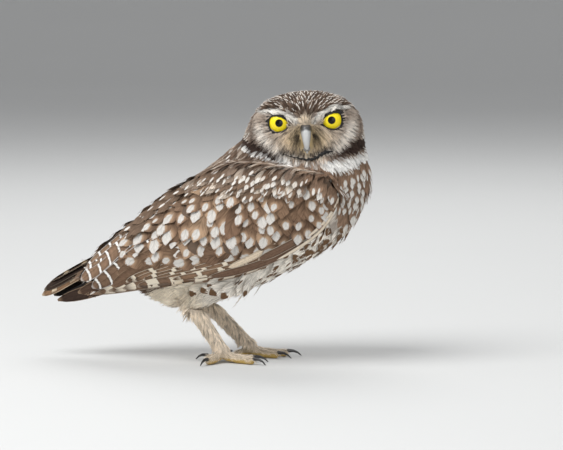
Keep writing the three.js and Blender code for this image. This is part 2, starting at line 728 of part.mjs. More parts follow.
addNode("torso", largest(torsoSolid()), BROWN);
addNode("neck", largest(neckSolid()), PALE);
addNode("head", largest(headNode), BROWN);
addNode("eye_right", ball(rightEye, EYE.radius), 0xe8d23c, 0.15);
addNode("eye_left", ball(leftEye, EYE.radius), 0xe8d23c, 0.15);
const nostrils = [-1, 1].map((side) =>
  ball(headPoint(side * NOSTRIL.side, NOSTRIL.front, NOSTRIL.up), NOSTRIL.radius, 8, 6),
);
const upperBill = nostrils.reduce((solid, pit) => solid.subtract(pit), upperBillSolid().subtract(billCutter));
addNode("bill_upper", largest(upperBill), 0x9ba29c, 0.5);
addNode("bill_lower", largest(lowerBillSolid().subtract(billCutter).subtract(upperBillSolid(GAP))), 0x9ba29c, 0.5);
const rightWing = wingSolid(-1);
const wingCutter = (leg) => bodyCutter.add(billCutter).add(thighSolid(leg, GAP));
addNode("wing_right", largest(rightWing.subtract(wingCutter(LEGS.right))), BROWN);
addNode("wing_left", largest(mirrored(rightWing).subtract(wingCutter(LEGS.left))), BROWN);
addNode("tail", largest(tailSolid().subtract(bodyCutter)), BROWN);
for (const [name, leg] of Object.entries(LEGS)) {
  const split = vector(leg.heel).sub(vector(leg.ankle)).normalize();
  const cutAt = vector(leg.ankle).addScaledVector(split, 3).dot(split);
  addNode(`thigh_${name}`, largest(thighSolid(leg).subtract(bodyCutter)), PALE);
  const shank = shankSolid(leg).trimByPlane(split.toArray(), cutAt + GAP / 2);
  addNode(`shank_${name}`, largest(shank.subtract(thighSolid(leg, GAP)).subtract(bodyCutter)), PALE);
  const foot = footSolid(leg).trimByPlane(split.clone().negate().toArray(), -cutAt + GAP / 2);
  addNode(`foot_${name}`, largest(foot), 0xb09a6a);
  for (const toe of TOES) addNode(`claw_${name}_${toe.name}`, largest(clawSolid(leg, toe)), 0x1c1a1c, 0.35);
}

// The origin lies under the middle of the whole, on the floor
const box = new THREE.Box3().setFromObject(owl);
const middle = box.getCenter(new THREE.Vector3());
owl.position.set(-middle.x, -middle.y, -box.min.z);
export default owl;
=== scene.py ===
"""A burrowing owl standing on the floor, as a still, life-size model.

Sizes are in millimetres, and become metres where a mesh is made. The owl's places are worked out from the
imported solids: the eyes give the head's middle, and everything else is set from there. One skin stands for the
flesh, and the feathers are closed vanes and strands laid over it by Geometry Nodes.
"""

import math
from types import SimpleNamespace

import bmesh
import bpy
import numpy as np
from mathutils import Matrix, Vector
from mathutils.bvhtree import BVHTree


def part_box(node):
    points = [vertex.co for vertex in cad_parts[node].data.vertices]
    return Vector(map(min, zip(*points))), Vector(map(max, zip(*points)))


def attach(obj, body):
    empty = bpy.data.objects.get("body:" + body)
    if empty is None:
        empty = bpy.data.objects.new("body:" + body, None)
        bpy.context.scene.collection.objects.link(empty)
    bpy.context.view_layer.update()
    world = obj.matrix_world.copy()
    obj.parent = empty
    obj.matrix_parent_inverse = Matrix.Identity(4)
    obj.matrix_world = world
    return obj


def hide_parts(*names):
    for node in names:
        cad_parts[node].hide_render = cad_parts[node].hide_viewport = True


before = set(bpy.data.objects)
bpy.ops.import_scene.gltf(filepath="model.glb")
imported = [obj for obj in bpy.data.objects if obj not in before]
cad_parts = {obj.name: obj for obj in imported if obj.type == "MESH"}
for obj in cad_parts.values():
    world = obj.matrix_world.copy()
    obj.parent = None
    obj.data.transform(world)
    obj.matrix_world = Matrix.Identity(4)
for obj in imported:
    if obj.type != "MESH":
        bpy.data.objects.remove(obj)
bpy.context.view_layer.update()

MM = 0.001
SEED = 11

# The body's own axes: s forward along the back, y to the bird's left, h up from the back line
PITCH = math.radians(32)
ALONG = np.array([math.cos(PITCH), 0, math.sin(PITCH)])
ABOVE = np.array([-math.sin(PITCH), 0, math.cos(PITCH)])
LEFT = np.array([0.0, 1.0, 0.0])
DOWN = np.array([0.0, 0.0, -1.0])

# The head's own axes: side to the bird's left, front out of the face, up through the crown
TURN = math.radians(12)
ROLL = math.radians(3.2)
EYE = {"side": 15.6, "up": 7.7, "front": 13.2, "radius": 8.2, "pupil": 2.3, "iris": 7.0, "swell": 0.05}
FACE_RAISE = 3.1  # the markings of the face are set out from a line this far above the head's middle

# Build coordinates of the landmarks that the solids were made from
HEAD_BUILT = np.array([51.4, -2.0, 137.5])
RUMP_BUILT = np.array([-60.0, 0.0, 39.0])
HEAD_BASE_BUILT = np.array([51.0, 0.0, 120.0])
NECK_BASE_BUILT = np.array([45.0, 0.0, 107.0])
ANKLES_BUILT = ((2.5, -15.0, 7.5), (13.0, 14.0, 7.5))

# How deep the skin lies under the outside of the coat, and what is under the coat of a wing
DEPTH = {"body": 2.2, "crown": 1.5, "face": 1.3, "lids": 0.5, "thigh": 2.4, "shank": 0.9, "toe": 0.25,
         "wing": 1.6, "wing coat": 0.3}
BILL_BACK = 3.2  # the upper bill's base sinks this far between the face's feathers

FLESH = ("torso", "neck", "head", "thigh_right", "thigh_left")
LOWER_LEGS = ("shank_right", "shank_left", "foot_right", "foot_left")

# Colours as they look in soft daylight, red, green and blue from 0 to 255
COLOURS = {
    "brown": (113, 89, 72), "grey brown": (116, 96, 80), "deep brown": (96, 76, 60),
    "warm brown": (138, 112, 90), "buff": (182, 154, 126), "cream": (240, 228, 208),
    "white": (242, 240, 236), "grey white": (222, 218, 211), "shoulder": (150, 122, 98),
    "shoulder spot": (206, 196, 184), "breast": (142, 116, 96), "flank": (238, 231, 220),
    "flank blotch": (112, 86, 63), "pale nape": (146, 126, 110), "ridge": (98, 79, 66),
    "fleck": (198, 185, 170), "throat": (176, 152, 130), "pale throat": (232, 222, 208),
    "collar": (60, 46, 40), "crown": (70, 56, 47), "pale crown": (104, 86, 73),
    "side of head": (172, 156, 142), "face": (197, 184, 171), "face rim": (230, 223, 214),
    "tan face": (222, 195, 146), "temple": (150, 132, 118), "under eye": (150, 134, 118),
    "inner eye": (110, 94, 80), "mouth": (50, 38, 30), "chin": (222, 206, 180), "chin mottle": (96, 78, 66),
    "mouth corner": (44, 35, 29), "lore": (96, 82, 70), "wedge": (214, 198, 176), "brow": (240, 236, 229),
    "leg": (238, 223, 203), "covert spot": (206, 202, 196), "tail bar": (226, 208, 180),
    # painted hollow shade is near-black, standing in for the shade in the hollow between the wing tips and the
    # tail
    "wing underneath": (26, 20, 17), "scute": (186, 168, 140), "toe pad": (198, 166, 96),
    "bill side": (112, 110, 106), "bill ridge": (190, 191, 190), "cere": (46, 43, 41), "horn": (30, 27, 26),
    "iris": (246, 222, 40), "iris rim": (150, 112, 10), "lid": (13, 11, 11), "floor": (204, 205, 204),
}

# The outside of a folded wing: s, then low edge h and y, fullest place h and y, upper edge h and y
WING_STATIONS = np.array([
    [-36, 16.5, 13, 19.5, 13.5, 22, 13],
    [-20, 10.5, 15, 19, 16, 26, 13.5],
    [0, 3.5, 20, 18, 22.5, 29.5, 15],
    [20, -4, 26, 17, 29.5, 32.5, 17],
    [42, -14, 32, 13, 36, 35, 19],
    [66, -24, 36, 9, 41, 37, 21],
    [90, -30.5, 36.5, 4, 43.5, 36, 25],
    [112, -32.5, 34.5, -1, 43.5, 29, 31],
    [130, -31, 32, -8, 41.5, 15, 37],
    [144, -25, 31, -12, 37.5, 3, 37],
    [152, -18, 29, -12, 33, -5, 33],
])


# Vectors and smooth steps

def unit(v):
    v = np.asarray(v, float)
    return v / np.maximum(np.linalg.norm(v, axis=-1, keepdims=True), 1e-9)


def rise(x, low, high):
    """Goes smoothly from 0 at low to 1 at high."""
    t = np.clip((np.asarray(x, float) - low) / (high - low), 0, 1)
    return t * t * (3 - 2 * t)


def bell(x):
    return np.exp(-np.square(x))


def blend(a, b, share):
    """a where share is 0, and b where it is 1."""
    return a * (1 - share) + b * share


def row_dot(a, b):
    return np.sum(a * b, axis=-1)


FACING = unit([math.sin(TURN), -math.cos(TURN), 0.02])
LEVEL_SIDE = np.array([math.cos(TURN), math.sin(TURN), 0])
LEVEL_UP = -np.cross(LEVEL_SIDE, FACING)
HEAD_SIDE = LEVEL_SIDE * math.cos(ROLL) + LEVEL_UP * math.sin(ROLL)
HEAD_UP = LEVEL_UP * math.cos(ROLL) - LEVEL_SIDE * math.sin(ROLL)


def box_middle(node):
    low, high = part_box(node)
    return (np.array(low) + np.array(high)) / 2 / MM


EYES_MIDDLE = (box_middle("eye_right") + box_middle("eye_left")) / 2
HEAD = EYES_MIDDLE - EYE["front"] * FACING - EYE["up"] * HEAD_UP
SHIFT = HEAD - HEAD_BUILT
RUMP = RUMP_BUILT + SHIFT
HEAD_BASE = HEAD_BASE_BUILT + SHIFT
NECK_BASE = NECK_BASE_BUILT + SHIFT
HEAD_BASE_WAY = unit([0.17, -0.12, 1])
NECK_BASE_WAY = unit([0.21, 0, 1])


def body_axes(p):
    q = p - RUMP
    return q @ ALONG, q @ LEFT, q @ ABOVE


def head_axes(p):
    q = p - HEAD
    return q @ HEAD_SIDE, q @ FACING, q @ HEAD_UP


def face_axes(p):
    """The head's axes with up counted from the line that the markings are set out from."""
    side, front, up = head_axes(p)
    return side, front, up - FACE_RAISE


def body_point(s, h, y):
    s, h, y = (np.asarray(v, float)[..., None] for v in (s, h, y))
    return RUMP + s * ALONG + h * ABOVE + y * LEFT


def head_point(side, front, up):
    return HEAD + side * HEAD_SIDE + front * FACING + up * HEAD_UP


# Folded wings. side is -1 on the right and 1 on the left, and v goes from the upper edge, 0, to the lower, 1

def wing_at(s):
    """Reads WING_STATIONS smoothly at each s."""
    at = WING_STATIONS[:, 0]
    s = np.asarray(s, float)
    i = np.clip(np.searchsorted(at, s, side="left") - 1, 0, len(at) - 2)
    before, after = np.maximum(np.arange(len(at)) - 1, 0), np.minimum(np.arange(len(at)) + 1, len(at) - 1)
    slopes = (WING_STATIONS[after, 1:] - WING_STATIONS[before, 1:]) / (at[after] - at[before])[:, None]
    span = (at[i + 1] - at[i])[..., None]
    t = np.clip((s - at[i])[..., None] / span, 0, 1)
    start, end = WING_STATIONS[i, 1:], WING_STATIONS[i + 1, 1:]
    return (start * (2 * t**3 - 3 * t**2 + 1) + slopes[i] * span * (t**3 - 2 * t**2 + t)
            + end * (3 * t**2 - 2 * t**3) + slopes[i + 1] * span * (t**3 - t**2))


def wing_point(side, s, v):
    low_h, low_y, full_h, full_y, up_h, up_y = np.moveaxis(wing_at(s), -1, 0)

    def through(up, full, low):
        pull = 2 * full - (up + low) / 2
        return (1 - v)**2 * up + 2 * v * (1 - v) * pull + v**2 * low

    return body_point(s, through(up_h, full_h, low_h), side * through(up_y, full_y, low_y))


def wing_frame(side, s, v):
    """Places on the wing's outside, with the ways back, down and out there."""
    back = unit(wing_point(side, s - 1, v) - wing_point(side, s + 1, v))
    down = unit(wing_point(side, s, v + 0.02) - wing_point(side, s, v - 0.02))
    out = unit(np.cross(back, down) * -side)
    return wing_point(side, s, v), back, down, out


# Meshes

def linear(colour):
    """A named colour, or one of 0 to 255, as the shader's own, linear values."""
    c = np.asarray(COLOURS.get(colour, colour), float) / 255
    return np.where(c <= 0.04045, c / 12.92, ((c + 0.055) / 1.055)**2.4)


def vertex_values(items, key):
    values = np.empty(len(items) * 3, np.float32)
    items.foreach_get(key, values)
    return values.reshape(-1, 3).astype(float)


def coordinates(mesh):
    return vertex_values(mesh.vertices, "co") / MM


def vertex_normals(mesh):
    return vertex_values(mesh.vertex_normals, "vector")


def place_vertices(mesh, points):
    mesh.vertices.foreach_set("co", (points * MM).astype(np.float32).ravel())
    mesh.update()


def sink(mesh, depth):
    """Moves each vertex in from the surface by its depth."""
    place_vertices(mesh, coordinates(mesh) - vertex_normals(mesh) * depth)


# What each stored value is. One that isn't named here is a number
KINDS = {"ground": "FLOAT_COLOR", "marking": "FLOAT_COLOR",
         **dict.fromkeys(("out", "lie", "marks", "bands", "root_map", "vane", "iris_place"), "FLOAT_VECTOR")}


def give(mesh, **values):
    """Stores one value per vertex under each name."""
    for name, value in values.items():
        kind = KINDS.get(name, "FLOAT")
        value = np.asarray(value, np.float32)
        if kind == "FLOAT_COLOR":
            value = np.hstack([value, np.ones((len(value), 1), np.float32)])
        key = {"FLOAT": "value", "FLOAT_VECTOR": "vector", "FLOAT_COLOR": "color"}[kind]
        mesh.attributes.new(name, kind, "POINT").data.foreach_set(key, value.ravel())


def show(name, mesh, material=None):
    if material:
        mesh.materials.append(material)
    obj = bpy.data.objects.new(name, mesh)
    bpy.context.scene.collection.objects.link(obj)
    return obj


def settle(obj):
    """Puts the evaluated mesh in the place of the object's own, and takes its modifiers off."""
    depsgraph = bpy.context.evaluated_depsgraph_get()
    evaluated = obj.evaluated_get(depsgraph)
    made = bpy.data.meshes.new_from_object(evaluated, preserve_all_data_layers=True, depsgraph=depsgraph)
    obj.modifiers.clear()
    obj.data = made
    made.name = obj.name


def relax(mesh, rounds):
    """Moves each vertex half way to the middle of its neighbours."""
    points = coordinates(mesh)
    edges = np.empty(len(mesh.edges) * 2, np.int32)
    mesh.edges.foreach_get("vertices", edges)
    a, b = edges.reshape(-1, 2).T
    count = np.bincount(np.concatenate([a, b]), minlength=len(points))[:, None]
    for _ in range(rounds):
        total = np.stack([np.bincount(a, points[b, k], len(count)) + np.bincount(b, points[a, k], len(count))
                          for k in range(3)], axis=1)
        points += 0.5 * (total / np.maximum(count, 1) - points)
    place_vertices(mesh, points)


def remeshed(obj, voxel):
    remesh = obj.modifiers.new("even", "REMESH")
    remesh.mode = "VOXEL"
    remesh.voxel_size = voxel * MM
    remesh.use_smooth_shade = True
    settle(obj)


def smooth_copy(name, nodes, voxel, grow, rounds, close=0.0):
    """A joined copy of CAD nodes as one smooth closed surface. Creases up to twice close wide are filled."""
    shell = bmesh.new()
    for node in nodes:
        shell.from_mesh(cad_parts[node].data)
    bmesh.ops.remove_doubles(shell, verts=shell.verts, dist=2e-6)
    shell.normal_update()
    moves = [v.normal * grow * MM for v in shell.verts]
    for v, move in zip(shell.verts, moves):
        v.co += move
    mesh = bpy.data.meshes.new(name)
    shell.to_mesh(mesh)
    shell.free()
    obj = show(name, mesh)
    remeshed(obj, voxel)
    if close:
        sink(obj.data, -close)
        remeshed(obj, voxel)
        relax(obj.data, 2)
        sink(obj.data, close)
    relax(obj.data, rounds)
    return obj


def shade_smooth(mesh):
    mesh.polygons.foreach_set("use_smooth", [True] * len(mesh.polygons))


def face_out(shape):
    bmesh.ops.recalc_face_normals(shape, faces=shape.faces)


def mesh_of(name, shape):
    """A shape as a smooth mesh. The shape is freed."""
    made = bpy.data.meshes.new(name)
    shape.to_mesh(made)
    shape.free()
    shade_smooth(made)
    return made


def join_rings(shape, rings):
    """Faces from each closed ring of vertices to the next."""
    for low, high in zip(rings, rings[1:]):
        for i in range(len(low)):
            j = (i + 1) % len(low)
            shape.faces.new((low[i], low[j], high[j], high[i]))


def surface_tree(obj):
    """A tree for finding places on an object's surface."""
    shape = bmesh.new()
    shape.from_mesh(obj.data)
    made = BVHTree.FromBMesh(shape)
    shape.free()
    return made


def cast(tree, start, way, reach):
    """Where a line from start first meets a surface within its reach, or None."""
    hit = tree.ray_cast(Vector(start * MM), Vector(way), reach * MM)[0]
    return None if hit is None else np.array(hit) / MM


# Node trees

def operator(name, swapped=False):
    def run(value, other):
        return value.nodes.calc(name, *((other, value) if swapped else (value, other)))
    return run


class Value:
    """A node's output, to write sums with. Each operator adds a Math node."""

    def __init__(self, nodes, socket):
        self.nodes, self.socket = nodes, socket

    __add__ = __radd__ = operator("ADD")
    __mul__ = __rmul__ = operator("MULTIPLY")
    __sub__, __rsub__ = operator("SUBTRACT"), operator("SUBTRACT", swapped=True)
    __truediv__, __rtruediv__ = operator("DIVIDE"), operator("DIVIDE", swapped=True)

    def __abs__(self):
        return self.nodes.calc("ABSOLUTE", self)


def titled(key):
    """The name of the socket that a key such as root_tone stands for."""
    return key.replace("_", " ").title()


class Nodes:
    """Adds nodes to a tree. What goes into a socket is a Value or a plain setting."""

    def __init__(self, tree):
        self.tree = tree

    def link(self, value, socket):
        if isinstance(value, Value):
            self.tree.links.new(value.socket, socket)
        else:
            socket.default_value = value

    def add(self, kind, ins=None, out=0, **settings):
        """The output of a new node, or a list of outputs where out is a tuple."""
        made = self.tree.nodes.new(kind)
        for key, value in settings.items():
            setattr(made, key, value)
        for key, value in (ins or {}).items():
            self.link(value, made.inputs[key])
        if isinstance(out, tuple):
            return [Value(self, made.outputs[key]) for key in out]
        return Value(self, made.outputs[out])

    def use(self, group, out=0, **ins):
        """What a node group makes of these inputs."""
        kind = self.tree.bl_idname.replace("Tree", "Group")
        return self.add(kind, {titled(key): value for key, value in ins.items()}, out, node_tree=group)

    def calc(self, operation, *values):
        return self.add("ShaderNodeMath", dict(enumerate(values)), operation=operation)

    def vector(self, operation, *values, out=0):
        return self.add("ShaderNodeVectorMath", dict(enumerate(values)), out, operation=operation)

    def scaled(self, vector, by):
        return self.add("ShaderNodeVectorMath", {0: vector, "Scale": by}, operation="SCALE")

    def join(self, x, y, z=0.0):
        return self.add("ShaderNodeCombineXYZ", {0: x, 1: y, 2: z})

    def split(self, vector):
        return self.add("ShaderNodeSeparateXYZ", {0: vector}, (0, 1, 2))

    def read(self, name):
        """A stored value, in a geometry tree."""
        kind = KINDS.get(name, "FLOAT")
        return self.add("GeometryNodeInputNamedAttribute", {"Name": name}, "Attribute", data_type=kind)

    def store(self, geometry, name, value, kind=None, domain="POINT"):
        ins = {"Geometry": geometry, "Name": name, "Value": value}
        kind = kind or KINDS.get(name, "FLOAT")
        return self.add("GeometryNodeStoreNamedAttribute", ins, data_type=kind, domain=domain)

    def store_map(self, geometry, name, value):
        return self.store(geometry, name, value, "FLOAT2", "CORNER")

    def random(self, low, high, seed):
        return self.add("FunctionNodeRandomValue", {2: low, 3: high, "Seed": seed}, 1, data_type="FLOAT")

    def attribute(self, name, out="Color"):
        """A stored value, in a material."""
        return self.add("ShaderNodeAttribute", None, out, attribute_name=name)

    def uv_map(self):
        return self.add("ShaderNodeUVMap", uv_map="vane")

    def across_along(self, vane):
        """A place on a feather's map as -1 to 1 across it, and 0 to 1 along."""
        x, y, _ = self.split(vane)
        return (x - 0.5) * 2.0, y

    def noise(self, scale, detail=2.0, rough=0.5):
        place = self.add("ShaderNodeTexCoord", None, "Object")
        return self.add("ShaderNodeTexNoise",
                        {"Vector": place, "Scale": scale, "Detail": detail, "Roughness": rough})

    def ramp(self, value, low, high, start=0.0, end=1.0):
        """Goes smoothly from start at low to end at high."""
        return self.add("ShaderNodeMapRange", {0: value, 1: low, 2: high, 3: start, 4: end},
                        interpolation_type="SMOOTHSTEP")

    def mix(self, share, a, b, blend_type="MIX"):
        ends = [(*linear(colour), 1) if isinstance(colour, str) else colour for colour in (a, b)]
        return self.add("ShaderNodeMix", {0: share, 6: ends[0], 7: ends[1]}, 2, data_type="RGBA",
                        blend_type=blend_type)

    def shade(self, colour, strength):
        """A colour made lighter or darker by a number round 1."""
        grey = self.add("ShaderNodeCombineColor", {0: strength, 1: strength, 2: strength})
        return self.mix(1.0, colour, grey, "MULTIPLY")


class Group(Nodes):
    """A node group. Each input is given its default or the kind of its socket, and each output its kind."""

    def __init__(self, name, kind, ins, outs):
        super().__init__(bpy.data.node_groups.new(name, f"{kind}NodeTree"))
        for in_out, sockets in (("INPUT", ins), ("OUTPUT", outs)):
            for key, value in sockets.items():
                named = isinstance(value, str)
                socket = "NodeSocket" + (value if named else type(value).__name__.title())
                made = self.tree.interface.new_socket(titled(key), in_out=in_out, socket_type=socket)
                if not named:
                    made.default_value = value
        start, self.end = self.tree.nodes.new("NodeGroupInput"), self.tree.nodes.new("NodeGroupOutput")
        self.given = SimpleNamespace(**{key: Value(self, start.outputs[titled(key)]) for key in ins})

    def result(self, **outs):
        for key, value in outs.items():
            self.link(value, self.end.inputs[titled(key)])
        return self.tree


def run_tree(obj, tree, **values):
    """Runs a geometry tree on an object with its own values, and keeps the result as a plain mesh."""
    modifier = obj.modifiers.new(tree.name, "NODES")
    modifier.node_group = tree
    sockets = {item.name: item.identifier for item in tree.interface.items_tree if item.in_out == "INPUT"}
    for key, value in values.items():
        modifier[sockets[titled(key)]] = value
    settle(obj)


BAKE_PATCH = 0.003  # a feather's patch on the baked map, as a share of it
PACKING = 3.5  # how many places are tried for each feather that the spacing leaves room for
SHARP = 1.2  # edges that bend by more than this angle are a vane's rims
GEOMETRY = {"geometry": "Geometry"}
FEATHER_SIZES = {"feathers": "Collection", "length": 0.01, "width": 0.005, "lift": 6.0, "stray": 8.0,
                 "seed": 0, "soften": 0.6, "finish": "Material"}
SIZE_LUCK = (0.86, 1.14)  # how much shorter and longer than its size a feather may be
MOST_SHAPES = 7  # no set of shapes has more than this


def soften(t, geometry, share):
    """Turns the shading of all but the undersides this share of the way towards the coat's own way, out."""
    out, normal = t.read("out"), t.add("GeometryNodeInputNormal")
    facing = t.vector("DOT_PRODUCT", normal, out, out="Value")
    part = t.add("ShaderNodeMapRange", {0: facing, 1: -0.8, 2: -0.2, 3: 0.0, 4: 1.0}) * share
    way = t.vector("NORMALIZE", t.vector("ADD", t.scaled(out, part), t.scaled(normal, 1.0 - part)))
    return t.add("GeometryNodeSetMeshNormal", {"Mesh": geometry, "Custom Normal": way}, mode="FREE",
                 domain="CORNER")


def finish_vanes(t, geometry, bake_place):
    """The last steps of a tree: the map for baking, the softened shading and the material."""
    soft = soften(t, t.store_map(geometry, "OFBake", bake_place), t.given.soften)
    return t.result(geometry=t.add("GeometryNodeSetMaterial", {"Geometry": soft, "Material": t.given.finish}))


def feather_setter():
    """Sets one feather on each point: its root there, its length along lie and its face towards out."""
    t = Group("set_feathers", "Geometry", {"points": "Geometry", **FEATHER_SIZES}, GEOMETRY)
    g = t.given
    points = t.store(g.points, "pick", t.random(0.0, 1.0, g.seed))
    facing = t.add("FunctionNodeAxesToRotation", {0: t.read("out"), 1: t.read("lie")}, primary_axis="Z",
                   secondary_axis="Y")
    stray, lift = t.calc("RADIANS", g.stray), t.calc("RADIANS", g.lift)

    def wander(share, offset):
        return stray * share * t.random(-1.0, 1.0, g.seed + offset)

    angles = t.join(lift + wander(0.2, 1), wander(0.35, 2), wander(1.0, 3))
    turn = t.add("FunctionNodeEulerToRotation", {0: angles})
    turned = t.add("FunctionNodeRotateRotation", {0: facing, 1: turn}, rotation_space="LOCAL")
    size = t.read("size") * t.random(*SIZE_LUCK, g.seed + 4)
    length = g.length * size
    shapes = t.add("GeometryNodeCollectionInfo",
                   {"Collection": g.feathers, "Separate Children": True, "Reset Children": True})
    choice = t.add("FunctionNodeRandomValue", {4: 0, 5: MOST_SHAPES, "Seed": g.seed + 5}, 2, data_type="INT")
    placed = t.add("GeometryNodeInstanceOnPoints",
                   {"Points": points, "Instance": shapes, "Pick Instance": True, "Instance Index": choice,
                    "Rotation": turned, "Scale": t.join(g.width * size, length, length)})
    real = t.add("GeometryNodeRealizeInstances", {"Geometry": placed})
    inside = t.vector("SUBTRACT", t.read("vane"), (0.5, 0.5, 0))
    place = t.vector("MULTIPLY_ADD", inside, (BAKE_PATCH, BAKE_PATCH, 0), t.read("root_map"))
    return finish_vanes(t, real, place)


def lay_feathers(t, setter, points):
    sizes = {key: getattr(t.given, key) for key in FEATHER_SIZES}
    return t.result(geometry=t.use(setter, points=points, **sizes))


def coat_tree(setter):
    """Scatters feathers evenly over the covered part of a guide surface."""
    t = Group("lay_coat", "Geometry", {**GEOMETRY, "spacing": 0.004, **FEATHER_SIZES}, GEOMETRY)
    g = t.given
    points, normal = t.add("GeometryNodeDistributePointsOnFaces",
                           {"Mesh": g.geometry, "Distance Min": g.spacing,
                            "Density Max": PACKING / (g.spacing * g.spacing),
                            "Density Factor": t.read("cover"), "Seed": g.seed},
                           ("Points", "Normal"), distribute_method="POISSON")
    return lay_feathers(t, setter, t.store(points, "out", normal))


def row_tree(setter):
    """Sets feathers on the vertices of a guide, which carry their own way out."""
    t = Group("lay_rows", "Geometry", {**GEOMETRY, **FEATHER_SIZES}, GEOMETRY)
    return lay_feathers(t, setter, t.add("GeometryNodeMeshToPoints", {"Mesh": t.given.geometry}))


def sweep_tree():
    """Turns chains of edges into long vanes: half is the half width, out the face's way, along 0 to 1."""
    t = Group("sweep_vanes", "Geometry",
              {**GEOMETRY, "section": "Object", "soften": 0.5, "finish": "Material"}, GEOMETRY)
    g = t.given
    chain = t.add("GeometryNodeMeshToCurve", {"Mesh": g.geometry})
    facing = t.add("GeometryNodeSetCurveNormal", {"Curve": chain, "Normal": t.read("out")}, mode="FREE")
    section = t.add("GeometryNodeObjectInfo", {"Object": g.section}, "Geometry")
    swept = t.add("GeometryNodeCurveToMesh",
                  {"Curve": facing, "Profile Curve": t.add("GeometryNodeMeshToCurve", {"Mesh": section}),
                   "Fill Caps": True, "Scale": t.read("half")})
    smooth = t.add("GeometryNodeSetShadeSmooth", {"Geometry": swept})
    sharp = t.calc("GREATER_THAN", t.add("GeometryNodeInputMeshEdgeAngle", None, "Unsigned Angle"), SHARP)
    rims = t.add("GeometryNodeSetShadeSmooth",
                 {"Geometry": smooth, "Selection": sharp, "Shade Smooth": False}, domain="EDGE")
    real = t.add("GeometryNodeRealizeInstances", {"Geometry": rims})
    across, along = t.read("across"), t.read("along")
    named = t.store_map(real, "vane", t.join(across, along))
    strip = (across - 0.5) * t.read("strip_wide") + t.read("strip")
    return finish_vanes(t, named, t.join(strip, along * 0.94 + 0.03))


# Feather shapes of length 1 along +y and width 1 across x, with a map named vane across and along them

RAGGED = 0.12  # the most by which a vane's edge draws in
TUFT_RINGS = 3


def outline_half(y, blunt):
    """Half the width of a vane at y, widest past its middle and blunt or pointed at the tip."""
    start = 0.1 + 0.4 * rise(y, 0, 0.45)
    return start * (1 - np.clip((y - 0.5) / 0.5, 0, 1)**blunt)**0.62


def vane_mesh(name, rows, columns, seed, barbs, blunt=2.6, camber=0.06, arch=0.03, thick=0.02):
    """A closed, lens-shaped vane with loose, pointed barbs past its edge and its tip."""
    chance = np.random.default_rng(seed)
    shape, maps = bmesh.new(), {}

    def corner(x, y, above):
        level = arch * (1 - (2 * y - 1)**2) - camber * abs(x) * 2 * abs(x)
        v = shape.verts.new((x, y, level + above))
        maps[v] = (0.5 + x / 1.02, min(y, 1.0))
        return v

    tops, unders = [], []
    for y in np.linspace(0.05, 0.96, rows):
        half = outline_half(y, blunt)
        row_top, row_under = [], []
        for c, x in enumerate(np.linspace(-1, 1, columns)):
            edge = c in (0, columns - 1)
            here = half * (1 - RAGGED * chance.uniform(0, 1)) if edge else half
            back = y - 0.05 * x * x * (1 + y)
            body = thick * (1 - x * x) * (0.4 + 0.6 * (1 - y))
            top = corner(x * here, back, body)
            row_top.append(top)
            row_under.append(top if edge else corner(x * here, back, -body * 0.3))
        tops.append(row_top)
        unders.append(row_under)
    root, tip = corner(0, 0, 0), corner(0, 0.99, 0)
    for r in range(rows - 1):
        for c in range(columns - 1):
            shape.faces.new((tops[r][c], tops[r][c + 1], tops[r + 1][c + 1], tops[r + 1][c]))
            shape.faces.new((unders[r][c + 1], unders[r][c], unders[r + 1][c], unders[r + 1][c + 1]))
    for c in range(columns - 1):
        shape.faces.new((root, tops[0][c + 1], tops[0][c]))
        shape.faces.new((root, unders[0][c], unders[0][c + 1]))
        shape.faces.new((tip, tops[-1][c], tops[-1][c + 1]))
        shape.faces.new((tip, unders[-1][c + 1], unders[-1][c]))
    for k in range(barbs):
        share = (k + chance.uniform(0.1, 0.9)) / barbs * 2 - 1
        y = 0.55 + 0.4 * math.cos(share * math.pi / 2)
        x = math.copysign(outline_half(y, blunt) * 0.82, share)
        lean = math.radians(55 * share)
        reach = chance.uniform(0.1, 0.2)
        base = [corner(x + 0.028 * math.cos(lean) * j, y - 0.02 * math.sin(lean) * j,
                       thick * (0.5 - 0.5 * abs(j))) for j in (-1, 0, 1)]
        point = corner(x + reach * math.sin(lean) * 0.9, y + reach * math.cos(lean), -thick * 0.5)
        shape.faces.new(base)
        for i in range(3):
            shape.faces.new((base[i], point, base[(i + 1) % 3]))
    return finished_shape(name, shape, maps, rims=True)


def tuft_mesh(name, strands, seed, spread=0.16, girth=0.035, curl=0.16):
    """A tuft of closed, pointed strands that grow from one root and part towards their tips."""
    chance = np.random.default_rng(seed)
    shape, maps = bmesh.new(), {}
    for k in range(strands):
        share = (k + 0.5) / strands - 0.5
        reach = chance.uniform(0.72, 1.0)
        side = share * 2 * spread + chance.normal(0, spread * 0.25)
        bend, height = chance.normal(0, 0.06), chance.uniform(-0.05, 0.07)
        rings = []
        for i in range(TUFT_RINGS):
            t = i / TUFT_RINGS
            middle = np.array([share * 0.25 + side * t + bend * t * t, reach * t,
                               height * t - curl * t * t + 0.3 * girth])
            wide = girth * (1 - 0.55 * t) * (0.7 + 0.3 * math.sin(math.pi * min(t * 2, 1)))
            turns = [2 * math.pi * j / 3 + math.pi / 2 for j in range(3)]
            ring = [shape.verts.new(middle + np.array([math.cos(a) * wide * 2.2, 0, math.sin(a) * wide]))
                    for a in turns]
            maps.update({v: (0.5 + share * 0.8, t) for v in ring})
            rings.append(ring)
        tip = shape.verts.new((share * 0.25 + side + bend, reach, height - curl + 0.3 * girth))
        maps[tip] = (0.5 + share * 0.8, 1.0)
        shape.faces.new(rings[0])
        join_rings(shape, rings)
        for j in range(3):
            shape.faces.new((rings[-1][j], tip, rings[-1][(j + 1) % 3]))
    return finished_shape(name, shape, maps)


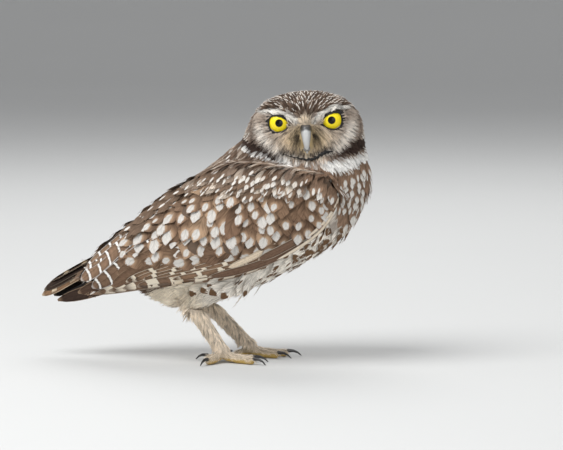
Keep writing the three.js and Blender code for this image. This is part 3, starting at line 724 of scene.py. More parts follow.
def finished_shape(name, shape, maps, rims=False):
    """The shape as a mesh, with its rims sharp: the edges where its upper side meets its underside."""
    face_out(shape)
    for edge in shape.edges if rims else ():
        edge.smooth = len({face.normal.z > 0 for face in edge.link_faces}) == 1
    layer = shape.loops.layers.uv.new("vane")
    for face in shape.faces:
        for loop in face.loops:
            loop[layer].uv = maps[loop.vert]
    return mesh_of(name, shape)


def shape_set(name, make, count, seed, facts):
    """A collection of loose shapes for the trees to choose from. It isn't part of the scene."""
    holder = bpy.data.collections.new(f"{name}_shapes")
    for k in range(count):
        mesh = make(f"{name}_{k}", seed=seed + k, **facts)
        holder.objects.link(bpy.data.objects.new(mesh.name, mesh))
    return holder


# Where the parts of the coat lie, and their colours

# Lines on the face, as ways from its middle and up. The first is the same on both sides
BROW_LINE = [(3.2, 4.8), (7.8, 7.6), (12.5, 10.5), (18, 12.2), (24.5, 11.5), (30, 11.2)]
MOUTH_LINE = [(-16, -13.2), (-8.3, -15.8), (-0.6, -17.7), (3.7, -17.5), (7.7, -15.5), (10.8, -13.9),
              (15.5, -13.9)]
# Half the thickness of the mouth's line at each of its places
MOUTH_HALF = (0.1, 0.35, 0.8, 1.1, 1.35, 1.5, 0.15)
COLLAR_LINE = [(-38, -7), (-30, -11.5), (-21, -16.2), (-10, -19.5), (10, -20), (21, -17), (29, -13.5),
               (38, -9)]
BAND_LINE = [(-40, -11.5), (-28, -16.5), (-14, -20.8), (-5, -23), (8, -24.5), (19, -24.5), (27, -22.5),
             (38, -19)]


def line_distance(x, y, line):
    """How far each place is from a line of straight pieces, and its share along it."""
    best, where = np.full(np.shape(x), 1e9), np.zeros(np.shape(x))
    for i, ((x0, y0), (x1, y1)) in enumerate(zip(line, line[1:])):
        dx, dy = x1 - x0, y1 - y0
        t = np.clip(((x - x0) * dx + (y - y0) * dy) / (dx * dx + dy * dy), 0, 1)
        d = np.hypot(x - x0 - t * dx, y - y0 - t * dy)
        where = np.where(d < best, (i + t) / (len(line) - 1), where)
        best = np.minimum(best, d)
    return best, where


def disc_reach(side, up):
    """1 at the rim of the facial disc, less inside it and more outside. The brows are its upper rim."""
    a = np.abs(side)
    across, brow = zip(*[(0, 8.5), (2, 6.0), *BROW_LINE, (34, 9)])
    top = (up - np.interp(a, across, brow)) / 8 + 1
    return np.maximum(np.hypot(side / 30.5, (np.minimum(up, 1) - 1) / 20.5), np.where(up > 1, top, 0))


def on_head(p):
    near = 1 - rise(np.linalg.norm(p - HEAD, axis=-1), 35, 39)
    return rise((p - HEAD_BASE) @ HEAD_BASE_WAY, -4, 3) * near


def face_share(p):
    """1 on the facial disc, 0 on the crown, the back of the head and the body."""
    side, front, up = face_axes(p)
    return on_head(p) * rise(front, 1, 7) * (1 - rise(disc_reach(side, up), 0.98, 1.06))


def crown_share(p):
    return on_head(p) * (1 - face_share(p))


def leg_share(p):
    """1 on the legs below the thigh's feathers."""
    return 1 - rise(p[..., 2], 33, 37)


def brow_share(p):
    """1 on the white brows."""
    side, front, up = face_axes(p)
    distance, along = line_distance(np.abs(side), up, BROW_LINE)
    thick = 0.75 + 0.4 * np.sin(math.pi * along)
    return on_head(p) * rise(front, 2, 8) * (1 - rise(distance, thick * 0.7, thick * 1.4))


def foot_way(p):
    """Level ways from the nearer ankle out along the toes."""
    ankles = [np.array(a) + SHIFT for a in ANKLES_BUILT]
    nearer = np.where((p[..., 1] < 0)[..., None], ankles[0], ankles[1])
    return unit((p - nearer) * [1, 1, 0])


def lie_of_coat(p, out):
    """The way the feathers point at each place of the skin."""
    side, _, up = face_axes(p)
    s, _, h = body_axes(p)
    sign = np.where(side < 0, -1.0, 1.0)
    eye_x = np.minimum(np.abs(side), 12.0) * sign
    from_eye = (side - eye_x)[..., None] * HEAD_SIDE + (up - 2.5)[..., None] * HEAD_UP
    from_bill = side[..., None] * HEAD_SIDE + (up + 1)[..., None] * HEAD_UP
    face_way = unit(from_eye) + 0.9 * unit(from_bill) + 0.3 * DOWN
    crown_way = unit(p - head_point(0, 24, 7)) + 0.15 * DOWN
    breast = rise(s, 95, 150)[..., None]
    under = (1 - rise(h, -20, 10))[..., None]
    body_way = -ALONG + DOWN * (0.25 + 1.9 * breast * under)
    neck_way = DOWN * 1.1 - ALONG * 0.7
    leg_way = DOWN + foot_way(p) * (1 - rise(p[..., 2], 7, 11))[..., None] * 3
    neck = rise((p - NECK_BASE) @ NECK_BASE_WAY, -14, 8)
    brow_way = sign[..., None] * HEAD_SIDE + 0.35 * HEAD_UP
    way = body_way
    for other, share in ((neck_way, neck), (unit(crown_way), on_head(p)), (unit(face_way), face_share(p)),
                         (brow_way, brow_share(p)), (leg_way, leg_share(p))):
        way = blend(way, other, share[..., None])
    return unit(way - out * row_dot(way, out)[..., None])


def paint_over(colour, coat, share):
    return blend(colour, linear(coat), share[..., None])


def paint(coat, *layers):
    """Paints each colour over the ground colour by its share."""
    for colour, share in layers:
        coat.ground = paint_over(coat.ground, colour, share)


def dress_body(coat):
    """Brown breast with pale spots, white flanks with brown blotches, and a plain cream rear."""
    s, luck, pick, breast = coat.s, coat.luck, coat.pick, coat.breast
    under = rise((1 - rise(coat.h, -12, -4)) * (1 - rise(s, 130, 143)), 0.4, 0.6)
    rear = 1 - rise(s, 40, 50)
    shoulder = rise(s, 100, 118) * (1 - breast)
    paint(coat, ("shoulder", shoulder * 0.8 * (pick < 0.7)), ("breast", breast), ("flank", under),
          ("cream", under * rear))
    coat.marking = paint_over(coat.marking, "shoulder spot", shoulder * (pick < 0.5))
    coat.marking = paint_over(coat.marking, "flank blotch", under)
    coat.spotted = np.where(shoulder > 0.5, luck < 0.45, coat.spotted)
    coat.spotted = np.where(under > 0.5, luck < (0.62 + 0.18 * rise(s, 108, 125)) * (1 - rear), coat.spotted)
    coat.wide = coat.wide + 0.1 * shoulder + 0.26 * breast + 0.36 * under
    coat.long = coat.long + 0.03 * shoulder + 0.07 * breast - 0.02 * under


def dress_neck(coat):
    """Spotted behind, with a dark collar on each side over a white band, and a mottled throat.

    Gives the share of each place that has no marks."""
    p, side, front, up, a, pick = coat.p, coat.side, coat.front, coat.up, coat.a, coat.pick
    over_base = (p - NECK_BASE) @ NECK_BASE_WAY
    nape = rise(over_base, -10, 2)
    coat.wide, coat.long = coat.wide + 0.06 * nape, coat.long + 0.03 * nape
    coat.spotted = np.where(nape > 0.5, coat.luck < 0.72, coat.spotted)
    neck = rise(over_base, -14, -2) * rise(front, -20, -8) * (up < 4)
    past_band = rise(np.linalg.norm(p - HEAD, axis=-1), 39.3, 41.5)
    collar_away, _ = line_distance(side, up, COLLAR_LINE)
    band_away, _ = line_distance(side, up, BAND_LINE)
    thick = 2.2 + np.where(side > 0, 1.6, 0.7) * bell((a - 29) / 7)
    collar = neck * (1 - rise(collar_away, thick * 0.8, thick * 1.15)) * rise(a, 14, 20)
    solid = np.where(a > 11.5, 1.0, 0.75 * (pick < 0.5))
    band = neck * (1 - past_band) * (1 - rise(band_away, 2.1, 3.6)) * solid
    ridge = bell(((p - HEAD_BASE) @ HEAD_BASE_WAY + 4) / 8) * rise(front, -24, -18)
    throat = neck * (1 - rise(a, 10, 15)) * rise(up, -27, -24) * (1 - rise(up, -17, -15))
    behind = 1 - coat.breast
    paint(coat, ("pale nape", nape * (pick < 0.4) * behind), ("ridge", 0.8 * past_band * ridge * behind),
          ("fleck", past_band * rise(over_base, -18, -12) * behind * (pick > 0.8)),
          ("throat", throat * 0.8), ("pale throat", throat * 0.8 * (pick < 0.4)), ("white", band),
          ("collar", collar))
    return np.clip(band + throat + collar, 0, 1)


def dress_crown(coat, plain):
    """Narrow pale streaks, left out where the neck is plain."""
    crown = crown_share(coat.p)
    streaked = crown * rise(coat.up, -8, 2)
    side_head = crown * (1 - rise(coat.up, 6, 12)) * rise(coat.front, -14, -2)
    paint(coat, ("crown", crown * (1 - plain)), ("pale crown", crown * (1 - plain) * (coat.pick < 0.45)),
          ("side of head", side_head * 0.6 * (1 - plain)))
    coat.wide, coat.long = blend(coat.wide * (1 - plain), 0.23, streaked), blend(coat.long, 0.22, streaked)
    coat.spotted = np.where(streaked > 0.5, coat.luck < 0.66, coat.spotted)


def dress_face(coat):
    """The face, then the brows over disc and crown alike, with the buff wedge between them, and the legs."""
    side, front, up, a, pick = coat.side, coat.front, coat.up, coat.a, coat.pick
    face, brow, legs = face_share(coat.p), brow_share(coat.p), leg_share(coat.p)
    mouth, _ = line_distance(side, up, MOUTH_LINE)
    wedge = (on_head(coat.p) * rise(front, 4, 10) * (1 - rise(a, 3.5, 6.5)) * rise(up, 2, 4.5)
             * (1 - rise(up, 8.5, 12)))
    layers = (
        ("face", 1.0),
        ("face rim", rise(disc_reach(side, up), 0.78, 0.95) * (1 - rise(up, -2, 6))),
        ("tan face", np.clip(1.15 * bell(a / 12) * bell((up + 6) / 9), 0, 1)),
        ("temple", 0.7 * bell((a - 26) / 3.5) * bell((up - 7) / 4)),
        ("under eye", 0.6 * bell((a - 15) / 7) * bell((up + 2.8) / 2)),
        ("inner eye", 0.6 * bell((a - 8.2) / 2) * bell((up - 3.4) / 2.2)),
        ("mouth", 0.95 * bell(mouth / 1.6)),
        ("chin", (1 - rise(up, -20, -17.5)) * (1 - rise(a, 12, 16))),
        ("chin mottle", (1 - rise(up, -19, -17.6)) * (1 - rise(a, 15, 19)) * (pick < 0.55)),
        ("mouth corner", bell((a - 6.2) / 2.5) * bell((up + 6.3) / 3.6)),
        ("lore", 0.7 * bell((a - 4.4) / 1.4) * bell((up - 0.5) / 3)),
    )
    paint(coat, *((colour, face * share) for colour, share in layers))
    paint(coat, ("wedge", wedge * 0.85), ("brow", brow), ("leg", legs))
    coat.wide = coat.wide * (1 - face) * (1 - 0.6 * wedge) * (1 - brow) * (1 - legs)


def plumage(p, chance):
    """Ground colour, marking colour and marks of the coat at each place.

    Marks are the half width and half length of a feather's spot, and how far along its middle is."""
    side, front, up = face_axes(p)
    s, _, h = body_axes(p)
    count = len(p)
    coat = SimpleNamespace(
        p=p, side=side, front=front, up=up, a=np.abs(side), s=s, h=h,
        breast=rise(s, 128, 142) * (1 - rise(h, 2, 22)),
        luck=chance.uniform(0, 1, count), pick=chance.uniform(0, 1, count),
        ground=np.tile(linear("grey brown"), (count, 1)), marking=np.tile(linear("grey white"), (count, 1)),
        wide=np.full(count, 0.3), long=np.full(count, 0.17))
    coat.spotted = (coat.luck < 0.55).astype(float)
    dress_body(coat)
    plain = dress_neck(coat)
    dress_crown(coat, plain)
    dress_face(coat)
    wide = coat.wide * coat.spotted * chance.uniform(0.8, 1.25, count)
    marks = np.stack([wide, coat.long, np.full(count, 0.8)], axis=1)
    return {"ground": coat.ground, "marking": coat.marking, "marks": marks}


def body_map(p):
    s, y, h = body_axes(p)
    return np.stack([np.arctan2(y, h + 4) / (2 * math.pi) + 0.5, s], axis=1)


def head_map(p):
    side, front, up = head_axes(p)
    height = np.clip(up / np.sqrt(side**2 + front**2 + up**2), -1, 1)
    return np.stack([np.arctan2(side, front) / (2 * math.pi) + 0.5, np.arcsin(height)], axis=1)


def leg_map(p):
    right = p[:, 1] < 0
    centre = np.where(right[:, None], p[right].mean(axis=0), p[~right].mean(axis=0))
    turn = np.arctan2(p[:, 1] - centre[:, 1], p[:, 0] - centre[:, 0]) / (2 * math.pi) + 0.5
    return np.stack([turn * 0.48 + np.where(right, 0.0, 0.52), p[:, 2]], axis=1)


def fitted_map(values, used):
    """Fits a map's used part to the middle of the square from 0 to 1."""
    low, high = values[used].min(axis=0), values[used].max(axis=0)
    flat = np.clip((values - low) / np.maximum(high - low, 1e-6), 0, 1) * 0.92 + 0.04
    return np.hstack([flat, np.zeros((len(flat), 1))])


# The skin

def body_depth(p):
    face, head, thigh = face_share(p), on_head(p), 1 - rise(p[:, 2], 52, 60)
    side, front, up = head_axes(p)
    lids = bell((np.hypot(np.abs(side) - EYE["side"], up - EYE["up"]) - 6.5) / 2.5) * (front > 0)
    depth = DEPTH["body"]
    for name, share in (("crown", head), ("face", face), ("lids", lids), ("thigh", thigh)):
        depth = blend(depth, DEPTH[name], share)
    return depth


def leg_depth(p):
    return blend(DEPTH["toe"], DEPTH["shank"], rise(p[:, 2], 7, 12))


def make_skin():
    body = smooth_copy("skin", FLESH, voxel=1.0, grow=0.35, rounds=5)
    legs = smooth_copy("leg_skin", LOWER_LEGS, voxel=0.5, grow=0.1, rounds=4)
    whole = bmesh.new()
    for obj, depth in ((body, body_depth), (legs, leg_depth)):
        sink(obj.data, depth(coordinates(obj.data))[:, None])
        relax(obj.data, 2)
        whole.from_mesh(obj.data)
    whole.to_mesh(body.data)
    whole.free()
    bpy.data.objects.remove(legs)
    shade_smooth(body.data)
    return body


def make_guide(cores):
    """One surface over body, head and wings together, for the coat that runs from one onto the other.

    With it comes 1 for each of its vertices that has a wing's core just beneath, and 0 for the others."""
    guide = smooth_copy("coat_guide", (*FLESH, "wing_right", "wing_left"), voxel=1.3, grow=0.35, rounds=8,
                        close=3.5)
    points = coordinates(guide.data)
    near = np.array([min(tree.find_nearest(Vector(p), 20 * MM)[3] or 1.0 for tree in cores)
                     for p in points * MM]) / MM
    wing = (near < 2.9).astype(float)
    sink(guide.data, blend(body_depth(points), DEPTH["wing coat"], wing)[:, None])
    relax(guide.data, 6)
    return guide, wing


def hidden_under(points, out, cores):
    """Whether a wing lies over each place."""
    return np.array([any(cast(tree, place, way, 14) is not None for tree in cores)
                     for place, way in zip(points, out)])


# Materials

GLOSS = {"rough": "Roughness", "specular": "Specular IOR Level", "coat": "Coat Weight",
         "coat_rough": "Coat Roughness"}
COLOUR_AND_HEIGHT = {"color": "Color", "height": "Float"}
LEAST = 0.01  # a spot without size is taken to be so big, to divide by it


class Surface(Nodes):
    """A material of one surface."""

    def __init__(self, name):
        self.material = bpy.data.materials.new(name)
        self.material.use_nodes = True
        super().__init__(self.material.node_tree)
        self.tree.nodes.clear()

    def result(self, colour, height=None, bump=(0, 0), **gloss):
        """Ends in the surface. bump is the height's strength, and its distance in millimetres."""
        ins = {"Base Color": colour, **{GLOSS[key]: value for key, value in gloss.items()}}
        if height:
            ins["Normal"] = self.add("ShaderNodeBump",
                                     {"Height": height, "Strength": bump[0], "Distance": bump[1] * MM})
        output = self.tree.nodes.new("ShaderNodeOutputMaterial")
        self.link(self.add("ShaderNodeBsdfPrincipled", ins), output.inputs[0])
        return self.material


def barb_group():
    """Fine barbs slanting off a shaft, as a mask round 0 and a height."""
    t = Group("barb_grain", "Shader", {"across": 0.0, "along": 0.0, "count": 60.0, "slant": 1.2},
              {"grain": "Float", "height": "Float"})
    g = t.given
    noise = t.noise(700.0)
    lean = g.along - abs(g.across) * g.slant * 0.4
    wave = t.calc("SINE", (lean * g.count + noise * 5.0) * 2.0)
    return t.result(grain=wave, height=wave * 0.5 + noise)


def streak_group():
    """Uneven streaks that follow the barbs of a vane, other ones on each feather."""
    t = Group("barb_streaks", "Shader",
              {"across": 0.0, "along": 0.0, "pick": 0.5, "fineness": 15.0, "slant": 0.6}, {"streak": "Float"})
    g = t.given
    lean = g.along - abs(g.across) * g.slant
    place = t.join(lean * g.fineness, g.across * 2.2, g.pick * 37.0)
    return t.result(streak=t.add("ShaderNodeTexNoise", {"Vector": place, "Scale": 1.0, "Detail": 2.0}) - 0.5)


def mark_group(barbs, streaks):
    """The face of one body feather: ground, spot with its halo, fringe, shaft and barbs."""
    t = Group("feather_marks", "Shader",
              {"vane": "Vector", "ground": "Color", "marking": "Color", "marks": "Vector", "pick": 0.5,
               "fringe": 0.15, "halo": 0.0, "root_shade": 0.5}, COLOUR_AND_HEIGHT)
    g, pick = t.given, t.given.pick
    x, y = t.across_along(g.vane)
    wide, long, middle = t.split(g.marks)
    streak = t.use(streaks, across=x, along=y, pick=pick)
    uneven = (t.noise(900.0, 3.0) - 0.5) * 0.35 + streak * 0.9

    dx, dy = x / t.calc("MAXIMUM", wide, LEAST), (y - middle) / t.calc("MAXIMUM", long, LEAST)
    away = t.calc("SQRT", dx * dx + dy * dy) + uneven
    some = t.ramp(wide, 0.05, 0.15)
    spot = t.ramp(away, 1.12, 0.8) * some
    halo = t.ramp(away, 1.8, 0.9) * some * t.ramp(y - middle, 0.1, -0.1, 0.05)

    edge = t.calc("MAXIMUM", t.ramp(abs(x), 0.5, 1.0), t.ramp(y, 0.88, 1.0))
    # The darkening at the edge is partly the feathers' own darker margin and partly painted shade between
    # overlapping feathers
    tone = streak * 1.7 + edge * -0.18 + (pick - 0.5) * 0.2 + (t.noise(110.0) - 0.5) * 0.7 + 1.0
    warm = t.calc("MAXIMUM", edge * g.fringe, halo * g.halo)
    base = t.mix(warm, t.shade(g.ground, tone), "buff")
    marked = t.mix(spot, base, t.shade(g.marking, streak * 0.6 + 0.95))

    grain, height = t.use(barbs, ("Grain", "Height"), across=x, along=y, count=70.0)
    shaft = t.ramp(abs(x), 0.09, 0.02) * t.ramp(y, 0.9, 0.6)
    # Darker towards the root: painted shade where each feather lies under the ones above it
    painted_root_shade = 1.0 - (1.0 - t.ramp(y, 0.3, 0.7)) * g.root_shade
    return t.result(color=t.shade(marked, (grain * 0.07 + 1.0 - shaft * 0.2) * painted_root_shade),
                    height=streak * 1.5 + height)


def feather_material(name, marks, fringe, root_shade, halo=0.0, rough=0.82):
    t = Surface(name)
    colour, height = t.use(
        marks, ("Color", "Height"), vane=t.uv_map(), ground=t.attribute("ground"),
        marking=t.attribute("marking"), marks=t.attribute("marks", "Vector"), pick=t.attribute("pick", "Fac"),
        fringe=fringe, halo=halo, root_shade=root_shade)
    return t.result(colour, height, (0.35, 0.3), rough=rough, specular=0.12)


def strand_group():
    """Hair-like coat: its place's colour, darker at the root, uneven from tuft to tuft, with some dark."""
    t = Group("strand_tone", "Shader",
              {"ground": "Color", "along": 0.5, "pick": 0.5, "root_tone": 0.6, "tip_tone": 1.12,
               "uneven": 0.4, "dark_share": 0.12}, COLOUR_AND_HEIGHT)
    g = t.given
    # Darker towards the root: painted shade down among the strands
    tone = t.ramp(g.along, 0.0, 0.7, g.root_tone, g.tip_tone) + (g.pick - 0.5) * g.uneven
    dark = t.ramp(g.pick, g.dark_share, g.dark_share + 0.03, 0.62, 1.0)
    tone = (tone + (t.noise(450.0) - 0.5) * 0.5) * dark
    return t.result(color=t.shade(g.ground, tone), height=t.noise(1500.0))


def strand_material(name, strands, rough=0.8, **tones):
    t = Surface(name)
    _, along = t.across_along(t.uv_map())
    colour, height = t.use(strands, ("Color", "Height"), ground=t.attribute("ground"), along=along,
                           pick=t.attribute("pick", "Fac"), **tones)
    return t.result(colour, height, (0.2, 0.2), rough=rough, specular=0.2)


def skin_material():
    """The same colours as the coat over it, shaded as down, with scutes and pads on the toes."""
    t = Surface("skin")
    place = t.add("ShaderNodeTexCoord", None, "Object")
    _, _, z = t.split(place)
    bare = t.ramp(z, 7.5 * MM, 4.5 * MM)
    noise = t.noise(260.0, 4.0, 0.6)
    down = t.shade(t.attribute("ground"), noise * 0.4 + 0.5)
    pads = t.add("ShaderNodeTexVoronoi", {"Vector": place, "Scale": 1100.0}, "Distance")
    toes = t.shade(t.mix(t.ramp(z, 3.4 * MM, 2.2 * MM), "scute", "toe pad"), pads * -0.35 + 1.05)
    return t.result(t.mix(bare, down, toes), noise - pads * bare, (0.5, 0.4), rough=0.7, specular=0.3)


def flight_material(barbs, streaks):
    """Wing and tail vanes. bands holds how many bars there are, how wide, and to which web they keep."""
    t = Surface("flight_feather")
    x, y = t.across_along(t.uv_map())
    count, wide, reach = t.split(t.attribute("bands", "Vector"))
    pick, margin = t.attribute("pick", "Fac"), t.attribute("margin", "Fac")
    streak = t.use(streaks, across=x, along=y, pick=pick, fineness=46.0, slant=0.07)
    bow = y + x * 0.012 - x * x * 0.02
    wave = streak * 0.5 + t.calc("SINE", (bow * count + pick) * (2 * math.pi))
    some = t.ramp(wide, 0.01, 0.04)
    strong = abs(reach)
    web = (x * t.calc("SIGN", reach) * 0.5 + 0.5) * strong + (1.0 - strong)
    past = y - t.attribute("plain_tip", "Fac")
    bar = (t.ramp(wave - (1.0 - wide * 2.0), -0.1, 0.14) * some * t.ramp(web, 0.3, 0.55)
           * t.ramp(past, 0.05, -0.05))
    rim, tip = t.ramp(abs(x), 0.86, 0.94) * margin, t.ramp(y, 0.96, 0.995) * margin

    # Darker towards the vane's edges: painted shade along the edges where the feathers overlap
    tone = ((pick - 0.5) * 0.2 + 1.04 + streak * 0.9 - t.ramp(wave, -0.3, 0.9, 0.0, 0.3) * some
            - t.ramp(abs(x), 0.35, 0.85, 0.0, 0.3) - t.ramp(past, -0.05, 0.1, 0.0, 0.4))
    pale = t.calc("MAXIMUM", bar, t.calc("MAXIMUM", rim, tip))
    marked = t.mix(pale, t.shade(t.attribute("ground"), tone), t.attribute("marking"))
    grain, height = t.use(barbs, ("Grain", "Height"), across=x, along=y, count=260.0, slant=0.3)
    shaft = t.ramp(abs(x), 0.07, 0.015)
    return t.result(t.shade(marked, grain * 0.06 + 1.0 - shaft * 0.3), height + shaft, (0.4, 0.3), rough=0.75,
                    specular=0.15)


def cloud_group():
    """A colour made cloudy and slightly uneven."""
    t = Group("cloudy_colour", "Shader", {"ground": "Color", "scale": 600.0, "amount": 0.3},
              COLOUR_AND_HEIGHT)
    noise = t.noise(t.given.scale, 3.0)
    return t.result(color=t.shade(t.given.ground, (noise - 0.5) * t.given.amount + 1.0), height=noise)


def plain_material(name, clouds, colour, scale, amount, bump, **gloss):
    """Lid skin or claw horn: one colour, slightly uneven."""
    t = Surface(name)
    made, height = t.use(clouds, ("Color", "Height"), ground=(*linear(colour), 1), scale=scale, amount=amount)
    return t.result(made, height, bump, **gloss)


def bill_material():
    """Grey-white ridge, darker sides, and a dark cere with the nostrils in it."""
    t = Surface("bill_horn")
    noise = t.noise(500.0, 3.0)
    uneven = (noise - 0.5) * 0.25 + t.attribute("ridge", "Fac")
    horn = t.mix(t.ramp(uneven, 0.1, 0.9), "bill side", "bill ridge")
    whole = t.mix(t.attribute("cere", "Fac") * 0.9, horn, "cere")
    whole = t.mix(t.attribute("nostril", "Fac"), whole, "horn")
    return t.result(whole, noise, (0.2, 0.2), rough=0.38, coat=0.25)


def eye_material():
    """Yellow iris with faint rings and rays, and a black pupil, under a wet gloss."""
    t = Surface("eye_gloss")
    across, high, _ = t.split(t.attribute("iris_place", "Vector"))
    radius = t.calc("SQRT", across * across + high * high)
    noise = t.noise(900.0, 3.0)
    rays = t.calc("SINE", t.calc("ARCTAN2", high, across) * 46.0 + noise * 8.0)
    rings = t.calc("SINE", radius * 6.0 + noise * 2.0)
    iris = t.shade((*linear("iris"), 1), rays * 0.035 + rings * 0.05 + 1.0)
    iris = t.mix(t.ramp(radius, EYE["iris"] - 1.6, EYE["iris"]) * 0.55, iris, "iris rim")
    pupil = t.ramp(radius, EYE["pupil"] - 0.12, EYE["pupil"] + 0.12)
    return t.result(t.mix(pupil, (0.002, 0.002, 0.003, 1), iris), rough=0.3, specular=0.08, coat=0.32,
                    coat_rough=0.02)


# Eyes, lids, bill and claws

def eye_centre(side):
    return head_point(side * EYE["side"], EYE["front"], EYE["up"])


def make_eye(side, node, material):
    """An eyeball with its clear front swelling a little, facing the way of the face."""
    ball = bmesh.new()
    bmesh.ops.create_uvsphere(ball, u_segments=64, v_segments=40, radius=EYE["radius"] * MM)
    middle = eye_centre(side)
    flat = np.array([v.co for v in ball.verts]) / MM
    for v in ball.verts:
        x, y, z = v.co
        swell = 1 + EYE["swell"] * max(0.0, z / (EYE["radius"] * MM) - 0.75) / 0.25
        v.co = Vector(x * HEAD_SIDE + y * HEAD_UP + z * swell * FACING + middle * MM)
    face_out(ball)
    mesh = mesh_of(node, ball)
    give(mesh, iris_place=flat)
    eye = show(f"{node}_ball", mesh, material)
    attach(eye, "root")
    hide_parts(node)


# The edge of the opening between the lids, as ways outward from the bill and up from the pupil
LID_EDGE = np.array([
    (-5.7, -0.5), (-4.6, -2.5), (-2.6, -4.15), (-0.2, -5.0), (2.3, -5.05), (4.5, -3.9), (5.5, -2.0),
    (5.7, 0.5), (5.35, 2.4), (4.6, 3.6), (2.6, 4.0), (0.0, 3.5), (-2.4, 2.5), (-4.2, 1.2)])
LID_TURN = np.unwrap(np.arctan2(LID_EDGE[:, 1], LID_EDGE[:, 0]))
LID_WAY = np.hypot(*LID_EDGE.T)
# Rings of a lid: how far out from its edge, how high over the eyeball, and how high over the face's skin
LID_RINGS = [(0.0, 0.0, 0.1), (0.2, 0.35, 0.4), (0.55, 0.5, 0.65), (0.9, 0.35, 0.45), (1.15, 0.25, 0.1),
             (1.7, 0.2, 0.0), (2.4, 0.0, -0.4), (3.2, -1.6, -1.6)]
LID_COLUMNS = 72
LID_OVER = 1.05  # the lids lie over a ball so much larger than the eye's


def lid_radius(angle):
    return np.interp(angle, LID_TURN, LID_WAY, period=2 * math.pi)


def lid_reach(x, y, grow):
    """Under 1 within the lids' edge grown by so much, and over 1 outside it."""
    return np.hypot(x, y) / (lid_radius(np.arctan2(y, x)) + grow)


def make_lid(side, skin_tree, material):
    """A ring of skin from the eyeball out to the face, with a rounded rim and one fold."""
    middle, shape, rings = eye_centre(side), bmesh.new(), []
    for grow, over_ball, over_skin in LID_RINGS:
        rings.append([])
        for i in range(LID_COLUMNS):
            angle = 2 * math.pi * i / LID_COLUMNS
            away = float(lid_radius(angle)) + grow
            x, y = away * math.cos(angle), away * math.sin(angle)
            flat = side * x * HEAD_SIDE + y * HEAD_UP
            front = math.sqrt(max((EYE["radius"] * LID_OVER)**2 - (x * x + y * y), 0.0)) + over_ball
            on_skin = cast(skin_tree, middle + flat + 20 * FACING, -FACING, 30)
            if on_skin is not None:
                front = max(front, (on_skin - middle) @ FACING + over_skin)
            rings[-1].append(shape.verts.new((middle + flat + front * FACING) * MM))
    inner, outer = ([shape.verts.new(Vector(v.co) - Vector(FACING * depth * MM)) for v in ring]
                    for ring, depth in ((rings[0], 2.2), (rings[-1], 2.4)))
    join_rings(shape, [inner, *rings, outer, inner])
    face_out(shape)
    lid = show("lid_right" if side < 0 else "lid_left", mesh_of("lid", shape), material)
    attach(lid, "root")


def make_bill(material):
    for node, back in (("bill_upper", BILL_BACK), ("bill_lower", 0.0)):
        bill = smooth_copy(f"{node}_horn", [node], voxel=0.3, grow=0.12, rounds=5)
        points = coordinates(bill.data)
        side, _, up = head_axes(points)
        back = back + 9.0 * rise(up, 4.8, 8.2)
        place_vertices(bill.data, points - FACING * back[:, None])
        cere_from = 1.6 + 0.9 * bell(side / 1.2)
        give(bill.data, ridge=bell(side / 2.9) if node == "bill_upper" else np.full(len(points), 0.3),
             cere=rise(up, cere_from, cere_from + 1.6),
             nostril=bell(np.hypot(np.abs(side) - 2.9, up - 5.0) / 1.2))
        bill.data.materials.append(material)
        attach(bill, "root")
        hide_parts(node)


MOUTH = {"steps": 49, "sides": 6, "over_skin": 1.05, "thick": 0.4}


def make_mouth(skin_tree, material):
    """The closed mouth's dark line across the lower face, a thin sliver that tapers at its corners."""
    shape, rings = bmesh.new(), []
    across, height = zip(*MOUTH_LINE)
    turns = [2 * math.pi * j / MOUTH["sides"] for j in range(MOUTH["sides"])]
    for x in np.linspace(across[0], across[-1], MOUTH["steps"]):
        up = float(np.interp(x, across, height)) + FACE_RAISE + 0.2 * math.sin(x * 1.9)
        half = float(np.interp(x, across, MOUTH_HALF)) * (1 + 0.35 * math.sin(x * 3.1)) * 0.8
        at = cast(skin_tree, head_point(x, 50, up), -FACING, 60)
        at = head_point(x, 20, up) if at is None else at
        rings.append([shape.verts.new((at + HEAD_UP * half * math.cos(turn) + FACING * (
            MOUTH["over_skin"] + MOUTH["thick"] * math.sin(turn))) * MM) for turn in turns])
    join_rings(shape, rings)
    shape.faces.new(rings[0])
    shape.faces.new(rings[-1])
    face_out(shape)
    mouth = show("mouth_line", mesh_of("mouth_line", shape), material)
    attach(mouth, "root")


def make_claws(material):
    for side in ("right", "left"):
        for toe in ("inner", "middle", "outer", "hind"):
            node = f"claw_{side}_{toe}"
            claw = smooth_copy(f"{node}_horn", [node], voxel=0.22, grow=0.06, rounds=3)
            claw.data.materials.append(material)
            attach(claw, "root")
            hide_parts(node)


# Coat pieces

TIP_SHARE = 0.72  # how far along a feather the place is that its markings are taken from


def coat_piece(name, guide, cover, tree, shapes, unwrap, slot, finish, size=1.0, **sizes):
    """Lays one part of the coat over the guide where cover is above 0.

    Its markings are those of the place that the feathers' tips reach."""
    mesh = guide.data.copy()
    mesh.name = name
    points, out = coordinates(mesh), vertex_normals(mesh)
    lie = lie_of_coat(points, out)
    tips = points + lie * (TIP_SHARE * sizes["length"] / MM)
    looks = plumage(tips, np.random.default_rng(SEED + sizes["seed"]))
    if "ground" in mesh.attributes:
        mesh.attributes.remove(mesh.attributes["ground"])
    give(mesh, lie=lie, cover=cover, size=np.broadcast_to(size, len(points)), **looks,
         root_map=fitted_map(unwrap(points), cover > 0.3))
    coat = show(name, mesh)
    run_tree(coat, tree, feathers=shapes, finish=finish, **sizes)
    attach(coat, "root")


COVERT = {"length": 19.0, "width": 13.0, "root_up": -0.3, "tip_up": 1.9, "rows": 11, "row_step": 7.7,
          "step": 8.8, "stagger": 4.3}
# v of the lowest row's spots along a wing, by s
LOW_ROW = [(14, 0.52), (28, 0.64), (36, 0.72), (50, 0.78), (67, 0.83), (82, 0.87), (103, 0.92),
           (125, 0.955), (150, 0.97)]


